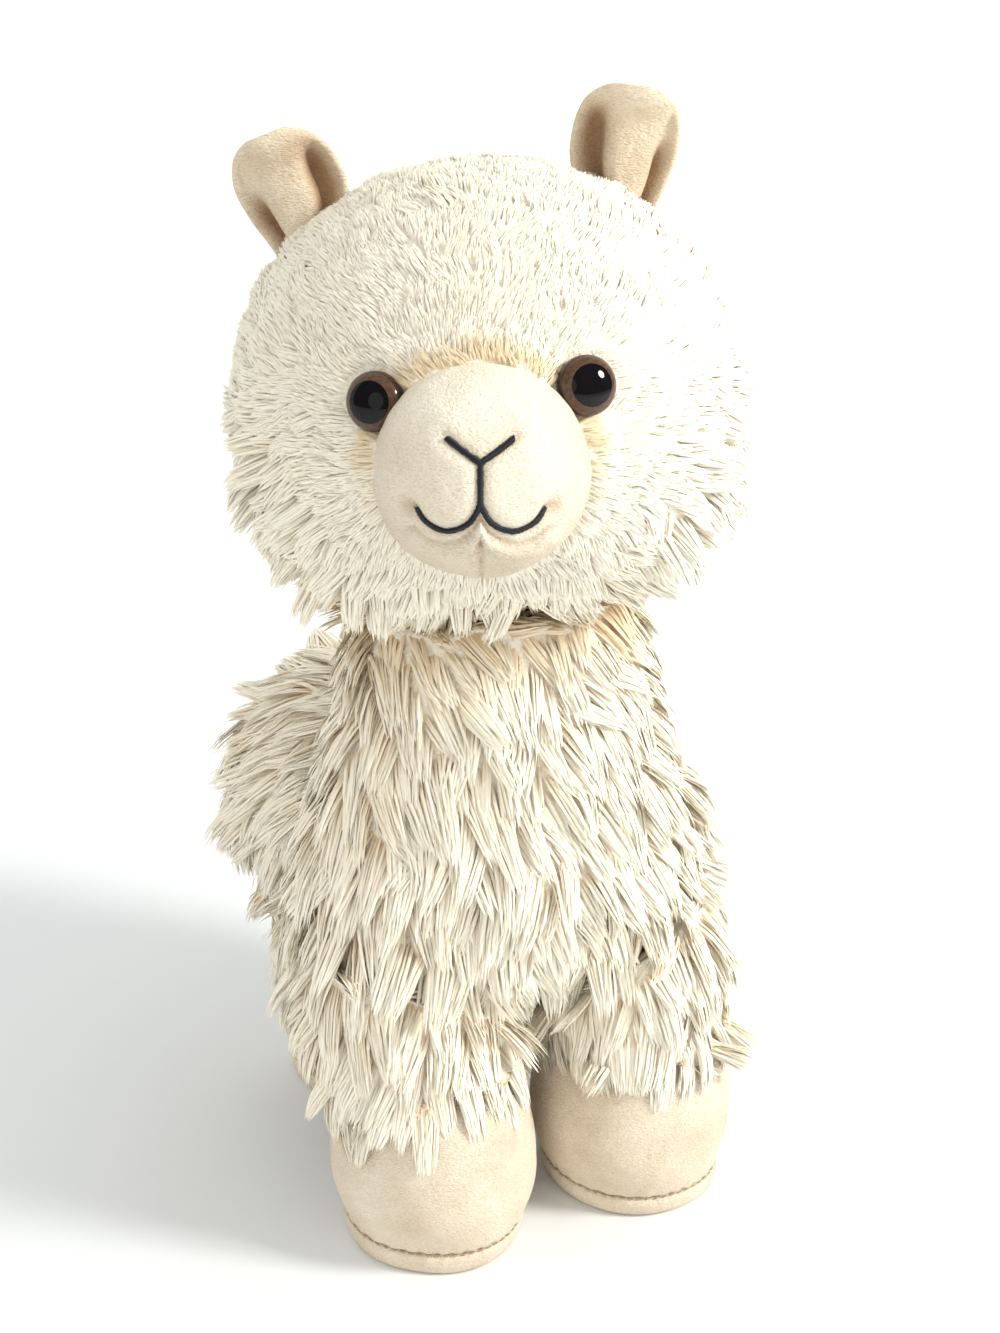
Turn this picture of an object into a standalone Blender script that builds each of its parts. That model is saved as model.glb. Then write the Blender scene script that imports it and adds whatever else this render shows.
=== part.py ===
"""Plush llama, standing on four legs, facing -Y, with its head turned to its right.

Metres, +Z up. The origin is under the middle of the whole toy, on the floor.
Every long-pile piece is given by the smooth envelope of its tuft tips. The locks are
pressed into that envelope, so whatever seats on a furry piece seats on its envelope.
"""

import math
import random

import bmesh
import bpy
from mathutils import Matrix, Vector
from mathutils.bvhtree import BVHTree

# Clearances
SEAT_GAP = 0.0003
FACET_ALLOWANCE = 0.0006
THREAD_GAP = 0.0004

# Head, a fur ball a little wider than high
HEAD_HALF_WIDTH = 0.080
HEAD_HALF_DEPTH = 0.074
HEAD_HALF_HEIGHT = 0.071
HEAD_CENTRE = Vector((-0.006, -0.058, 0.3005))
HEAD_YAW = math.radians(-17.3)
HEAD_ROLL = math.radians(4.5)
HEAD_JOWL = 1.2
HEAD_SEGMENTS = 44
HEAD_ROWS = 8

# Pile: how deep the gaps between the locks are
LONG_PILE = 0.0052
SHORT_PILE = 0.0007
LOCK_SEGMENTS = 2
ROW_RINGS = (0.05, 0.50, 0.93)
TIP_REACH = 0.26
ROW_WAVE = 0.30
ROW_DRIFT = 0.9
WAVES_ROUND = 6
ROOT_FULLNESS = 0.10
VALLEY_FULLNESS = 0.30
LOCK_GAIN_RANGE = (0.72, 1.25)
SURFACE_STEP = 0.01
HEAD_SEED = 11
BODY_SEED = 23
LEG_SEED = 31
LEG_SEED_STEP = 10

# Where the pile of the head changes: round the face, towards the back, and by height
FACE_EDGE = (math.radians(30), math.radians(62))
BACK_EDGE = (math.radians(105), math.radians(135))
BACK_POLE = (math.radians(180), math.radians(165))
CHEEK_EDGE = (0.35, -0.35)

# Muzzle, a short-pile ball sewn to the front of the head
MUZZLE_HALF_WIDTH = 0.0301
MUZZLE_HALF_HEIGHT = 0.0306
MUZZLE_HALF_DEPTH = 0.0310
MUZZLE_FORWARD = 0.0715
MUZZLE_ACROSS = -0.0015
MUZZLE_DROP = 0.0048
MUZZLE_ROLL = math.radians(-4.5)
MUZZLE_SEGMENTS = 28
MUZZLE_RINGS = 13
CHIN_SET_BACK = 0.0012
CHIN_EDGE = (-0.35, -0.75)

# Embroidered nose and mouth, in metres across and above the middle of the muzzle
THREAD_WIDTH = 0.0018
THREAD_HEIGHT = 0.0009
NOSE_TIP_RISE = 0.0117
NOSE_HALF_SPREAD = 0.0092
NOSE_WING_RISE = 0.0056
MOUTH_RISE = 0.0008
SMILE = ((0.0023, -0.0036), (0.0057, -0.0064), (0.0099, -0.0075), (0.0145, -0.0059), (0.0179, -0.0021))
SHARPEST_FORK = 0.35
STEM_STEPS = 4
WING_STEPS = 3

# Safety eyes: a dome on a shank, held by a lock washer inside the head
EYE_RADIUS = 0.0085
EYE_RIM = 0.0012
EYE_DOME = 0.0052
EYE_ACROSS = 0.0300
EYE_RISE = 0.0163
EYE_SINK = 0.0030
SHANK_RADIUS = 0.0024
SHANK_LENGTH = 0.0130
WASHER_RADIUS = 0.0075
WASHER_THICKNESS = 0.0016
WASHER_DEPTH = 0.0060
ROUND_SEGMENTS = 14
DOME_STEPS = 4
EYE_SHARP = math.radians(40)

# Ears, cupped short-pile pads pinched at the base
EAR_LENGTH = 0.0440
EAR_HALF_WIDTH = 0.0195
EAR_BASE_HALF_WIDTH = 0.0105
EAR_THICKNESS = 0.0042
EAR_EDGE_THICKNESS = 0.0016
EAR_BASE_FOLD = math.radians(82)
EAR_TIP_FOLD = math.radians(46)
EAR_ACROSS = 0.0440
EAR_RISE = 0.0410
EAR_BACK = 0.0040
EARS_ROLL = math.radians(3)
EAR_SPLAY = math.radians(14)
EAR_CURL = 0.0040
EAR_CROWN_SHARE = 0.93
EAR_CROWN_START = 0.35
EAR_CROWN_POWER = 2.8
EAR_SIDE_POWER = 2.2
EAR_FULL_AT = 0.5
EAR_OPEN_AT = 0.9
EAR_TIP_THINNING = 0.45
EAR_PLEAT = 0.0042
EAR_INNER_PLEAT_AT = -0.40
EAR_OUTER_PLEAT_AT = 0.60
EAR_PLEAT_WIDTH = 0.26
OUTER_PLEAT_SHARE = 0.62
PLEAT_EDGE = (0.92, 0.45)
EAR_STEPS = 7
EAR_COLUMNS = 10

# Body: lobes that blend into one form, each with its centre and half sizes
BODY_CENTRE = Vector((0.0, -0.012, 0.138))
TORSO_CENTRE = Vector((0.0, 0.010, 0.134))
TORSO_HALF_SIZES = Vector((0.066, 0.082, 0.051))
RUMP_CENTRE = Vector((-0.003, 0.046, 0.122))
RUMP_HALF_SIZES = Vector((0.077, 0.053, 0.066))
CHEST_CENTRE = Vector((0.0, -0.050, 0.142))
CHEST_HALF_SIZES = Vector((0.076, 0.050, 0.058))
NECK_CENTRE = Vector((0.0, -0.050, 0.196))
NECK_HALF_SIZES = Vector((0.059, 0.044, 0.062))
BODY_LOBES = (
    (TORSO_CENTRE, TORSO_HALF_SIZES),
    (RUMP_CENTRE, RUMP_HALF_SIZES),
    (CHEST_CENTRE, CHEST_HALF_SIZES),
    (NECK_CENTRE, NECK_HALF_SIZES),
)
BODY_BLEND = 0.0045
BODY_SEGMENTS = 48
BODY_ROWS = 8
NECK_EDGE = (math.radians(18), math.radians(40))
BELLY_EDGE = (math.radians(172), math.radians(150))
BODY_REACH = 0.3
HALVINGS = 26

# Smooth envelopes, cut out of whatever seats on the head or the body
ENVELOPE_SEGMENTS = 36
HEAD_ENVELOPE_RINGS = 17
BODY_ENVELOPE_RINGS = 23

# Legs: where each stands, the half sizes of its fur sleeve, and those of its boot
FRONT_RIGHT_FOOT = Vector((-0.0268, -0.0600))
FRONT_RIGHT_TOP = Vector((-0.0365, -0.0500))
FRONT_LEFT_FOOT = Vector((0.0500, -0.0495))
FRONT_LEFT_TOP = Vector((0.0470, -0.0480))
HIND_RIGHT_FOOT = Vector((-0.0300, 0.0440))
HIND_RIGHT_TOP = Vector((-0.0345, 0.0440))
HIND_LEFT_FOOT = Vector((0.0330, 0.0440))
HIND_LEFT_TOP = Vector((0.0345, 0.0440))
FRONT_RIGHT_HALF_WIDTH = 0.0405
FRONT_LEFT_HALF_WIDTH = 0.0380
HIND_HALF_WIDTH = 0.0330
FRONT_RIGHT_TILT = 0.09
FRONT_LEFT_TILT = -0.05
HIND_TILT = 0.04
FRONT_LEG = {
    "half_length": 0.0400,
    "shoulder": 0.106,
    "crown": 0.034,
    "hem": 0.050,
    "flare": 1.0,
    "boot_half_width": 0.0355,
    "boot_half_length": 0.0385,
    "boot_height": 0.074,
}
HIND_LEG = {
    "half_length": 0.0360,
    "shoulder": 0.088,
    "crown": 0.030,
    "hem": 0.040,
    "flare": 0.90,
    "boot_half_width": 0.0275,
    "boot_half_length": 0.0325,
    "boot_height": 0.060,
}


def place_leg(leg, foot, top, half_width, tilt):
    return dict(leg, foot=foot, top=top, half_width=half_width, tilt=tilt)


LEGS = {
    "front_right": place_leg(
        FRONT_LEG, FRONT_RIGHT_FOOT, FRONT_RIGHT_TOP, FRONT_RIGHT_HALF_WIDTH, FRONT_RIGHT_TILT
    ),
    "front_left": place_leg(
        FRONT_LEG, FRONT_LEFT_FOOT, FRONT_LEFT_TOP, FRONT_LEFT_HALF_WIDTH, FRONT_LEFT_TILT
    ),
    "hind_right": place_leg(HIND_LEG, HIND_RIGHT_FOOT, HIND_RIGHT_TOP, HIND_HALF_WIDTH, HIND_TILT),
    "hind_left": place_leg(HIND_LEG, HIND_LEFT_FOOT, HIND_LEFT_TOP, HIND_HALF_WIDTH, -HIND_TILT),
}
LEG_SEGMENTS = 20
LEG_ROWS = 3
FRINGE_DROP = 0.0060
FRINGE_RISE = 0.0022
FRINGE_TUCK = 0.0012
FRINGE_RANGE = (0.6, 1.0)
LINING_RISE = 1.5
LEG_PILE_SHARE = 0.8
LEG_PILE_START = 0.34
LEG_PILE_FULL = 0.56
SLEEVE_ROWS_END = 0.90
HEM_LEAN = 0.35
LEG_ROW_WAVE = 0.08
BOOT_WIDEST = 0.026
BOOT_FOOT_SHARE = 0.905
BOOT_FULLNESS = 2.5
BOOT_CROWN_DEGREES = (24, 44, 62, 76)
SLEEVE_CROWN_DEGREES = (35, 62)
BOOT_SHARP = math.radians(60)
SOLE_SHARP = math.radians(50)
SOLE_THICKNESS = 0.0085
SOLE_SHARE = 0.905
SOLE_ROUNDING = 0.09
SOLE_EDGE = 0.0030

# Tail, a short drooping tuft
TAIL_ROOT = Vector((0.0, 0.090, 0.160))
TAIL_LENGTH = 0.040
TAIL_RADIUS = 0.0125
TAIL_DROOP = math.radians(52)
TAIL_SEGMENTS = 8
TAIL_RINGS = ((0.12, 0.62), (0.32, 0.92), (0.50, 0.86), (0.55, 1.0), (0.74, 0.72), (0.79, 0.82), (0.92, 0.45))
TAIL_JAG = 0.06
TAIL_TIP = 1.04

CREAM_FUR = (0.93, 0.86, 0.72)
BEIGE_VELOUR = (0.85, 0.74, 0.58)
PALE_VELOUR = (0.90, 0.80, 0.66)
EYE_BROWN = (0.045, 0.022, 0.014)
WASHER_WHITE = (0.80, 0.80, 0.78)
THREAD_BLACK = (0.012, 0.012, 0.016)


def clear_scene():
    for old in list(bpy.data.objects):
        bpy.data.objects.remove(old, do_unlink=True)


def principled(name, colour, roughness):
    material = bpy.data.materials.new(name)
    material.use_nodes = True
    shader = material.node_tree.nodes["Principled BSDF"]
    shader.inputs["Base Color"].default_value = (*colour, 1.0)
    shader.inputs["Roughness"].default_value = roughness
    shader.inputs["Metallic"].default_value = 0.0
    return material


def add_empty(name, parent=None):
    empty = bpy.data.objects.new(name, None)
    bpy.context.collection.objects.link(empty)
    empty.parent = parent
    return empty


def add_object(name, mesh, material, parent):
    made = bpy.data.objects.new(name, mesh)
    bpy.context.collection.objects.link(made)
    made.parent = parent
    if material:
        mesh.materials.append(material)
    mesh.shade_smooth()
    return made


def ringed_mesh(name, first, rings, last):
    """A closed mesh from a pole, rings of equally many points, and a pole."""
    bm = bmesh.new()
    start = bm.verts.new(first)
    rows = [[bm.verts.new(p) for p in ring] for ring in rings]
    end = bm.verts.new(last)
    count = len(rows[0])
    for j in range(count):
        k = (j + 1) % count
        bm.faces.new((start, rows[0][j], rows[0][k]))
        bm.faces.new((end, rows[-1][k], rows[-1][j]))
        for upper, lower in zip(rows, rows[1:]):
            bm.faces.new((upper[j], lower[j], lower[k], upper[k]))
    bmesh.ops.recalc_face_normals(bm, faces=bm.faces)
    mesh = bpy.data.meshes.new(name)
    bm.to_mesh(mesh)
    bm.free()
    return mesh


def turned_mesh(name, profile, segments):
    """Turns (radius, height) points about Z. The first and last lie on the axis."""
    rings = []
    for radius, height in profile[1:-1]:
        ring = []
        for j in range(segments):
            turn = math.tau * j / segments
            ring.append((radius * math.cos(turn), radius * math.sin(turn), height))
        rings.append(ring)
    return ringed_mesh(name, (0, 0, profile[0][1]), rings, (0, 0, profile[-1][1]))


def subtract(target, cutter):
    cut = target.modifiers.new(f"seat_{cutter.name}", "BOOLEAN")
    cut.operation = "DIFFERENCE"
    cut.solver = "EXACT"
    cut.object = cutter


def hide_cutter(cutter):
    cutter.hide_render = True
    cutter.display_type = "WIRE"
    return cutter


def smooth_step(low, high, value):
    share = min(1.0, max(0.0, (value - low) / (high - low)))
    return share * share * (3 - 2 * share)


def ellipsoid_point(radii, direction, jowl=0.0):
    """Where a ray from the middle meets an ellipsoid whose lower half may be squarer."""
    across, ahead, up = (abs(direction[i]) / radii[i] for i in range(3))
    power = 2 + jowl * smooth_step(0.0, -0.5, direction.z)
    around = (across**power + up**power) ** (2 / power)
    return direction / math.sqrt(around + ahead**2)


def lock_relief(ring, segment, gains):
    """How full the pile stands at a point, 0 to 1, and how far its tip reaches along the flow."""
    row, along = divmod(ring, len(ROW_RINGS))
    offset = (row % 2) * LOCK_SEGMENTS // 2
    lock, across = divmod(segment + offset, LOCK_SEGMENTS)
    gain = gains[row % len(gains)][lock % len(gains[0])]
    rise = along / (len(ROW_RINGS) - 1)
    middle = math.sin(math.pi * across / LOCK_SEGMENTS) ** 2
    rooted = ROOT_FULLNESS + (1 - ROOT_FULLNESS) * rise
    valley = VALLEY_FULLNESS + (1 - VALLEY_FULLNESS) * middle
    fullness = min(1.0, rooted * valley * gain)
    reach = TIP_REACH * rise * (middle - 0.5)
    return fullness, reach


def row_alongs(rows):
    """Where the rings of each row of locks lie, 0 to 1: root, middle and tip."""
    return [(row + share) / rows for row in range(rows) for share in ROW_RINGS]


def lock_gains(seed, rows, segments):
    draw = random.Random(seed)
    locks = segments // LOCK_SEGMENTS
    return [[draw.uniform(*LOCK_GAIN_RANGE) for _ in range(locks)] for _ in range(rows + 1)]


def surface_normal(surface, turn, along):
    step = SURFACE_STEP
    across_way = surface(turn + step, along) - surface(turn - step, along)
    along_way = surface(turn, along + step) - surface(turn, along - step)
    return across_way.cross(along_way).normalized()


def fur_rings(surface, alongs, segments, pile, gains, inside, wave=ROW_WAVE):
    """Rings of points on an envelope, pressed in between the locks."""
    spacing = alongs[len(ROW_RINGS)] - alongs[0]
    rings = []
    for i, along in enumerate(alongs):
        ring = []
        drift = ROW_DRIFT * (i // len(ROW_RINGS))
        for j in range(segments):
            turn = math.tau * j / segments
            fullness, reach = lock_relief(i, j, gains)
            reach += wave * math.sin(WAVES_ROUND * turn + drift)
            tip_along = along + reach * spacing * min(1.0, pile(turn, along) / LONG_PILE)
            point = surface(turn, tip_along)
            normal = surface_normal(surface, turn, tip_along)
            if normal.dot(point - inside) < 0:
                normal.negate()
            ring.append(point - normal * pile(turn, along) * (1 - fullness))
        rings.append(ring)
    return rings


# Head. Its rows run round the axis of the face, so the locks point away from the muzzle.


def head_point(turn, polar, swell=0.0):
    out = math.sin(polar)
    direction = Vector((out * math.cos(turn), -math.cos(polar), out * math.sin(turn)))
    radii = (HEAD_HALF_WIDTH + swell, HEAD_HALF_DEPTH + swell, HEAD_HALF_HEIGHT + swell)
    return ellipsoid_point(radii, direction, HEAD_JOWL)


def head_pile(turn, polar):
    """Short on the face and the forehead, long on the cheeks, the jaw and the back."""
    low = smooth_step(*CHEEK_EDGE, math.sin(turn) * math.sin(polar))
    behind = smooth_step(*BACK_EDGE, polar)
    off_face = smooth_step(*FACE_EDGE, polar)
    poles = smooth_step(*BACK_POLE, polar)
    return (SHORT_PILE + (LONG_PILE - SHORT_PILE) * max(low, behind) * off_face) * poles


def head_mesh(name, swell=0.0):
    def surface(turn, polar):
        return head_point(turn, polar, swell)

    polars = [math.pi * along for along in row_alongs(HEAD_ROWS)]
    gains = lock_gains(HEAD_SEED, HEAD_ROWS, HEAD_SEGMENTS)
    rings = fur_rings(surface, polars, HEAD_SEGMENTS, head_pile, gains, Vector())
    return ringed_mesh(name, surface(0, 0), rings, surface(0, math.pi))


def build_head(parent, fur, eye_seats):
    head = add_object("head", head_mesh("head"), fur, parent)
    for seat in eye_seats:
        subtract(head, seat)


def ear_seats(parent):
    """The head itself with a clearance, so that the ears seat close on its fur."""
    return hide_cutter(add_object("ear_seats", head_mesh("ear_seats", SEAT_GAP), None, parent))


def head_envelope(parent):
    """The space that the head takes, with its clearance."""
    swell = SEAT_GAP + FACET_ALLOWANCE
    turns = [math.tau * j / ENVELOPE_SEGMENTS for j in range(ENVELOPE_SEGMENTS)]
    rings = []
    for i in range(HEAD_ENVELOPE_RINGS):
        polar = math.pi * (i + 1) / (HEAD_ENVELOPE_RINGS + 1)
        rings.append([head_point(turn, polar, swell) for turn in turns])
    mesh = ringed_mesh("head_envelope", head_point(0, 0, swell), rings, head_point(0, math.pi, swell))
    return hide_cutter(add_object("head_envelope", mesh, None, parent))


# Eyes


def eye_frame(side):
    """The matrix that takes an eye's own axis, +Z outward, to its seat on the head."""
    flat = (EYE_ACROSS / HEAD_HALF_WIDTH) ** 2 + (EYE_RISE / HEAD_HALF_HEIGHT) ** 2
    seat = Vector((side * EYE_ACROSS, -HEAD_HALF_DEPTH * math.sqrt(1 - flat), EYE_RISE))
    radii = (HEAD_HALF_WIDTH, HEAD_HALF_DEPTH, HEAD_HALF_HEIGHT)
    outward = Vector([place / radius**2 for place, radius in zip(seat, radii)])
    outward.normalize()
    turn = outward.to_track_quat("Z", "Y").to_matrix().to_4x4()
    return Matrix.Translation(seat - outward * EYE_SINK) @ turn


def build_eye(side, label, parent, plastic, washer_plastic):
    profile = [(0.0, EYE_RIM + EYE_DOME)]
    for i in range(1, DOME_STEPS + 1):
        turn = math.pi / 2 * i / DOME_STEPS
        profile.append((EYE_RADIUS * math.sin(turn), EYE_RIM + EYE_DOME * math.cos(turn)))
    profile += [(EYE_RADIUS, 0.0), (SHANK_RADIUS, 0.0), (SHANK_RADIUS, -SHANK_LENGTH), (0.0, -SHANK_LENGTH)]
    eye = add_object(f"eye_{label}", turned_mesh(f"eye_{label}", profile, ROUND_SEGMENTS), plastic, parent)
    eye.matrix_basis = eye_frame(side)
    eye.data.set_sharp_from_angle(angle=EYE_SHARP)

    bore = SHANK_RADIUS + SEAT_GAP
    outline = [(bore, 0.0), (WASHER_RADIUS, 0.0)]
    outline += [(WASHER_RADIUS, -WASHER_THICKNESS), (bore, -WASHER_THICKNESS)]
    bm = bmesh.new()
    loops = []
    for radius, height in outline:
        turns = [math.tau * j / ROUND_SEGMENTS for j in range(ROUND_SEGMENTS)]
        loops.append([bm.verts.new((radius * math.cos(t), radius * math.sin(t), height)) for t in turns])
    for i in range(len(loops)):
        near, far = loops[i], loops[(i + 1) % len(loops)]
        for j in range(ROUND_SEGMENTS):
            k = (j + 1) % ROUND_SEGMENTS
            bm.faces.new((near[j], near[k], far[k], far[j]))
    bmesh.ops.recalc_face_normals(bm, faces=bm.faces)
    mesh = bpy.data.meshes.new(f"eye_washer_{label}")
    bm.to_mesh(mesh)
    bm.free()
    washer = add_object(f"eye_washer_{label}", mesh, washer_plastic, parent)
    washer.matrix_basis = eye_frame(side) @ Matrix.Translation((0, 0, -WASHER_DEPTH))
    washer.data.set_sharp_from_angle(angle=EYE_SHARP)


def eye_cutter(side, label, parent):
    """The trimmed seat of an eye, the hole for its shank and the room for its washer."""
    seat = EYE_RADIUS + SEAT_GAP
    bore = SHANK_RADIUS + SEAT_GAP
    pocket = WASHER_RADIUS + SEAT_GAP
    above = EYE_RIM + EYE_DOME + EYE_SINK
    washer_top = -WASHER_DEPTH + SEAT_GAP
    washer_foot = -WASHER_DEPTH - WASHER_THICKNESS - SEAT_GAP
    foot = -SHANK_LENGTH - SEAT_GAP
    profile = [
        (0.0, above),
        (seat, above),
        (seat, -SEAT_GAP),
        (bore, -SEAT_GAP),
        (bore, washer_top),
        (pocket, washer_top),
        (pocket, washer_foot),
        (bore, washer_foot),
        (bore, foot),
        (0.0, foot),
    ]
    mesh = turned_mesh(f"eye_seat_{label}", profile, ROUND_SEGMENTS)
    cutter = hide_cutter(add_object(f"eye_seat_{label}", mesh, None, parent))
    cutter.matrix_basis = eye_frame(side)
    return cutter


# Muzzle


def muzzle_point(turn, polar):
    out = math.sin(polar)
    direction = Vector((out * math.cos(turn), -math.cos(polar), out * math.sin(turn)))
    point = ellipsoid_point((MUZZLE_HALF_WIDTH, MUZZLE_HALF_DEPTH, MUZZLE_HALF_HEIGHT), direction)
    below = smooth_step(*CHIN_EDGE, direction.z)
    return point * (1 - CHIN_SET_BACK / MUZZLE_HALF_HEIGHT * below)


def build_muzzle(parent, velour, envelope, eye_seats):
    rings = []
    for i in range(MUZZLE_RINGS):
        polar = math.pi * (i + 1) / (MUZZLE_RINGS + 1)
        turns = [math.tau * j / MUZZLE_SEGMENTS for j in range(MUZZLE_SEGMENTS)]
        rings.append([muzzle_point(turn, polar) for turn in turns])
    mesh = ringed_mesh("muzzle", muzzle_point(0, 0), rings, muzzle_point(0, math.pi))
    muzzle = add_object("muzzle", mesh, velour, parent)
    for cutter in (envelope, *eye_seats):
        subtract(muzzle, cutter)
    return muzzle


def thread_paths():
    """The embroidery as runs of (across, up) points between its ends and its two forks."""
    tip = Vector((0.0, NOSE_TIP_RISE))
    fork = Vector((0.0, MOUTH_RISE))
    wings = []
    for side in (-1, 1):
        end = tip + Vector((side * NOSE_HALF_SPREAD, NOSE_WING_RISE))
        wings.append([tip.lerp(end, i / WING_STEPS) for i in range(WING_STEPS + 1)])
    stem = [tip.lerp(fork, i / STEM_STEPS) for i in range(STEM_STEPS + 1)]
    smiles = [[fork] + [Vector((side * x, y)) for x, y in SMILE] for side in (-1, 1)]
    return wings, stem, smiles


def across_way(way):
    return Vector((-way.y, way.x)).normalized() * THREAD_WIDTH / 2


def fork_corners(middle, ends):
    """For runs that leave a fork, the corner between each run and the next one round."""
    ways = [(end - middle).normalized() for end in ends]
    corners = []
    for i, way in enumerate(ways):
        following = ways[(i + 1) % len(ways)]
        between = (way + following) if way.cross(following) > 0 else -(way + following)
        half_angle = math.acos(max(-1.0, min(1.0, way.dot(following)))) / 2
        reach = THREAD_WIDTH / 2 / max(SHARPEST_FORK, math.sin(half_angle))
        corners.append(middle + between.normalized() * reach)
    return corners


def thread_outline():
    """Flat quads and triangles of the embroidery, in (across, up)."""
    (left_wing, right_wing), stem, (left_smile, right_smile) = thread_paths()
    points, faces = [], []

    def put(point):
        points.append(point)
        return len(points) - 1

    def strip(run, near_right, near_left, far_right=None, far_left=None):
        right, left = near_right, near_left
        for i in range(1, len(run)):
            last = i == len(run) - 1
            if last and far_right is not None:
                next_right, next_left = far_right, far_left
            else:
                following = run[i + 1] if not last else run[i]
                side = across_way(following - run[i - 1])
                next_right, next_left = put(run[i] - side), put(run[i] + side)
            faces.append((right, next_right, next_left, left))
            right, left = next_right, next_left

    top = [put(c) for c in fork_corners(stem[0], (stem[1], right_wing[1], left_wing[1]))]
    low = [put(c) for c in fork_corners(stem[-1], (stem[-2], left_smile[1], right_smile[1]))]
    strip(right_wing, top[0], top[1])
    strip(left_wing, top[1], top[2])
    strip(left_smile, low[0], low[1])
    strip(right_smile, low[1], low[2])
    strip(stem, top[2], top[0], low[0], low[2])
    faces.append((top[0], top[1], top[2]))
    faces.append((low[0], low[1], low[2]))
    return points, faces


def build_stitching(parent, thread, muzzle):
    """Lays the embroidery on the muzzle, seen from straight ahead, as one raised cord."""
    graph = bpy.context.evaluated_depsgraph_get()
    tree = BVHTree.FromObject(muzzle, graph)
    points, faces = thread_outline()
    bm = bmesh.new()
    lower, upper = [], []
    for across, up in points:
        start = Vector((across, -2 * MUZZLE_HALF_DEPTH, up))
        hit, _, _, _ = tree.ray_cast(start, Vector((0, 1, 0)))
        outward = hit.normalized()
        lower.append(bm.verts.new(hit + outward * THREAD_GAP))
        upper.append(bm.verts.new(hit + outward * (THREAD_GAP + THREAD_HEIGHT)))
    edges = {}
    for face in faces:
        bm.faces.new([upper[i] for i in face])
        bm.faces.new([lower[i] for i in reversed(face)])
        for i, start in enumerate(face):
            edges[(start, face[(i + 1) % len(face)])] = True
    for start, end in edges:
        if (end, start) not in edges:
            bm.faces.new((upper[start], lower[start], lower[end], upper[end]))
    bmesh.ops.recalc_face_normals(bm, faces=bm.faces)
    mesh = bpy.data.meshes.new("nose_mouth_stitching")
    bm.to_mesh(mesh)
    bm.free()
    return add_object("nose_mouth_stitching", mesh, thread, parent)


# Ears


def ear_pleats(across, along):
    """How deep the two pleats are: a wide one towards the crown of the head and a narrow outer one."""
    inner = math.exp(-(((across - EAR_INNER_PLEAT_AT) / EAR_PLEAT_WIDTH) ** 2))
    outer = math.exp(-(((across - EAR_OUTER_PLEAT_AT) / (EAR_PLEAT_WIDTH * OUTER_PLEAT_SHARE)) ** 2))
    return EAR_PLEAT * (inner + OUTER_PLEAT_SHARE * outer) * smooth_step(*PLEAT_EDGE, along)


def ear_point(across, along, lift):
    """A point of the left ear's pad: across -1 to 1, along 0 at the base to 1 at the tip, lift -1 to 1."""
    crowned = max(0.0, (along - EAR_CROWN_START) / (1 - EAR_CROWN_START))
    crown = (1 - EAR_CROWN_SHARE * crowned**EAR_CROWN_POWER) ** (1 / EAR_SIDE_POWER)
    swell = smooth_step(0.0, EAR_FULL_AT, along)
    half_width = (EAR_BASE_HALF_WIDTH + (EAR_HALF_WIDTH - EAR_BASE_HALF_WIDTH) * swell) * crown
    fold = EAR_BASE_FOLD + (EAR_TIP_FOLD - EAR_BASE_FOLD) * smooth_step(0.0, EAR_OPEN_AT, along)
    radius = EAR_HALF_WIDTH / fold
    bend = across * half_width / radius
    edge = abs(across) ** 2
    thickness = (EAR_THICKNESS + (EAR_EDGE_THICKNESS - EAR_THICKNESS) * edge)
    thickness *= 1 - EAR_TIP_THINNING * along**4
    reach = radius - lift * thickness / 2
    back = EAR_CURL * math.sin(math.pi * along)
    depth = radius - reach * math.cos(bend) + back + ear_pleats(across, along)
    return Vector((reach * math.sin(bend), depth, EAR_LENGTH * along))


def build_ear(side, label, parent, velour, seats):
    bm = bmesh.new()
    faces_of_pad = []
    for lift in (-1, 1):
        grid = []
        for i in range(EAR_STEPS + 1):
            along = math.sin(math.pi / 2 * i / EAR_STEPS)
            row = [ear_point(-1 + 2 * j / EAR_COLUMNS, along, lift) for j in range(EAR_COLUMNS + 1)]
            grid.append([bm.verts.new((side * p.x, p.y, p.z)) for p in row])
        faces_of_pad.append(grid)
    back, front = faces_of_pad
    for grid in faces_of_pad:
        for i in range(EAR_STEPS):
            for j in range(EAR_COLUMNS):
                bm.faces.new((grid[i][j], grid[i][j + 1], grid[i + 1][j + 1], grid[i + 1][j]))
    rim = [(i, 0) for i in range(EAR_STEPS + 1)]
    rim += [(EAR_STEPS, j) for j in range(1, EAR_COLUMNS + 1)]
    rim += [(i, EAR_COLUMNS) for i in range(EAR_STEPS - 1, -1, -1)]
    rim += [(0, j) for j in range(EAR_COLUMNS - 1, 0, -1)]
    for n, (i, j) in enumerate(rim):
        k, m = rim[(n + 1) % len(rim)]
        bm.faces.new((back[i][j], back[k][m], front[k][m], front[i][j]))
    bmesh.ops.recalc_face_normals(bm, faces=bm.faces)
    mesh = bpy.data.meshes.new(f"ear_{label}")
    bm.to_mesh(mesh)
    bm.free()
    ear = add_object(f"ear_{label}", mesh, velour, parent)
    seat = Matrix.Translation((side * EAR_ACROSS, EAR_BACK, EAR_RISE))
    turns = Matrix.Rotation(-EARS_ROLL, 4, "Y"), Matrix.Rotation(side * EAR_SPLAY, 4, "Y")
    ear.matrix_basis = turns[0] @ seat @ turns[1]
    subtract(ear, seats)


# Body


def blend_depth(point):
    """Below zero inside the blend of the body's lobes."""
    total = 0.0
    for centre, radii in BODY_LOBES:
        away = Vector([(point[i] - centre[i]) / radii[i] for i in range(3)])
        total += math.exp(-(away.length - 1) * min(radii) / BODY_BLEND)
    return -BODY_BLEND * math.log(total)


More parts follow.
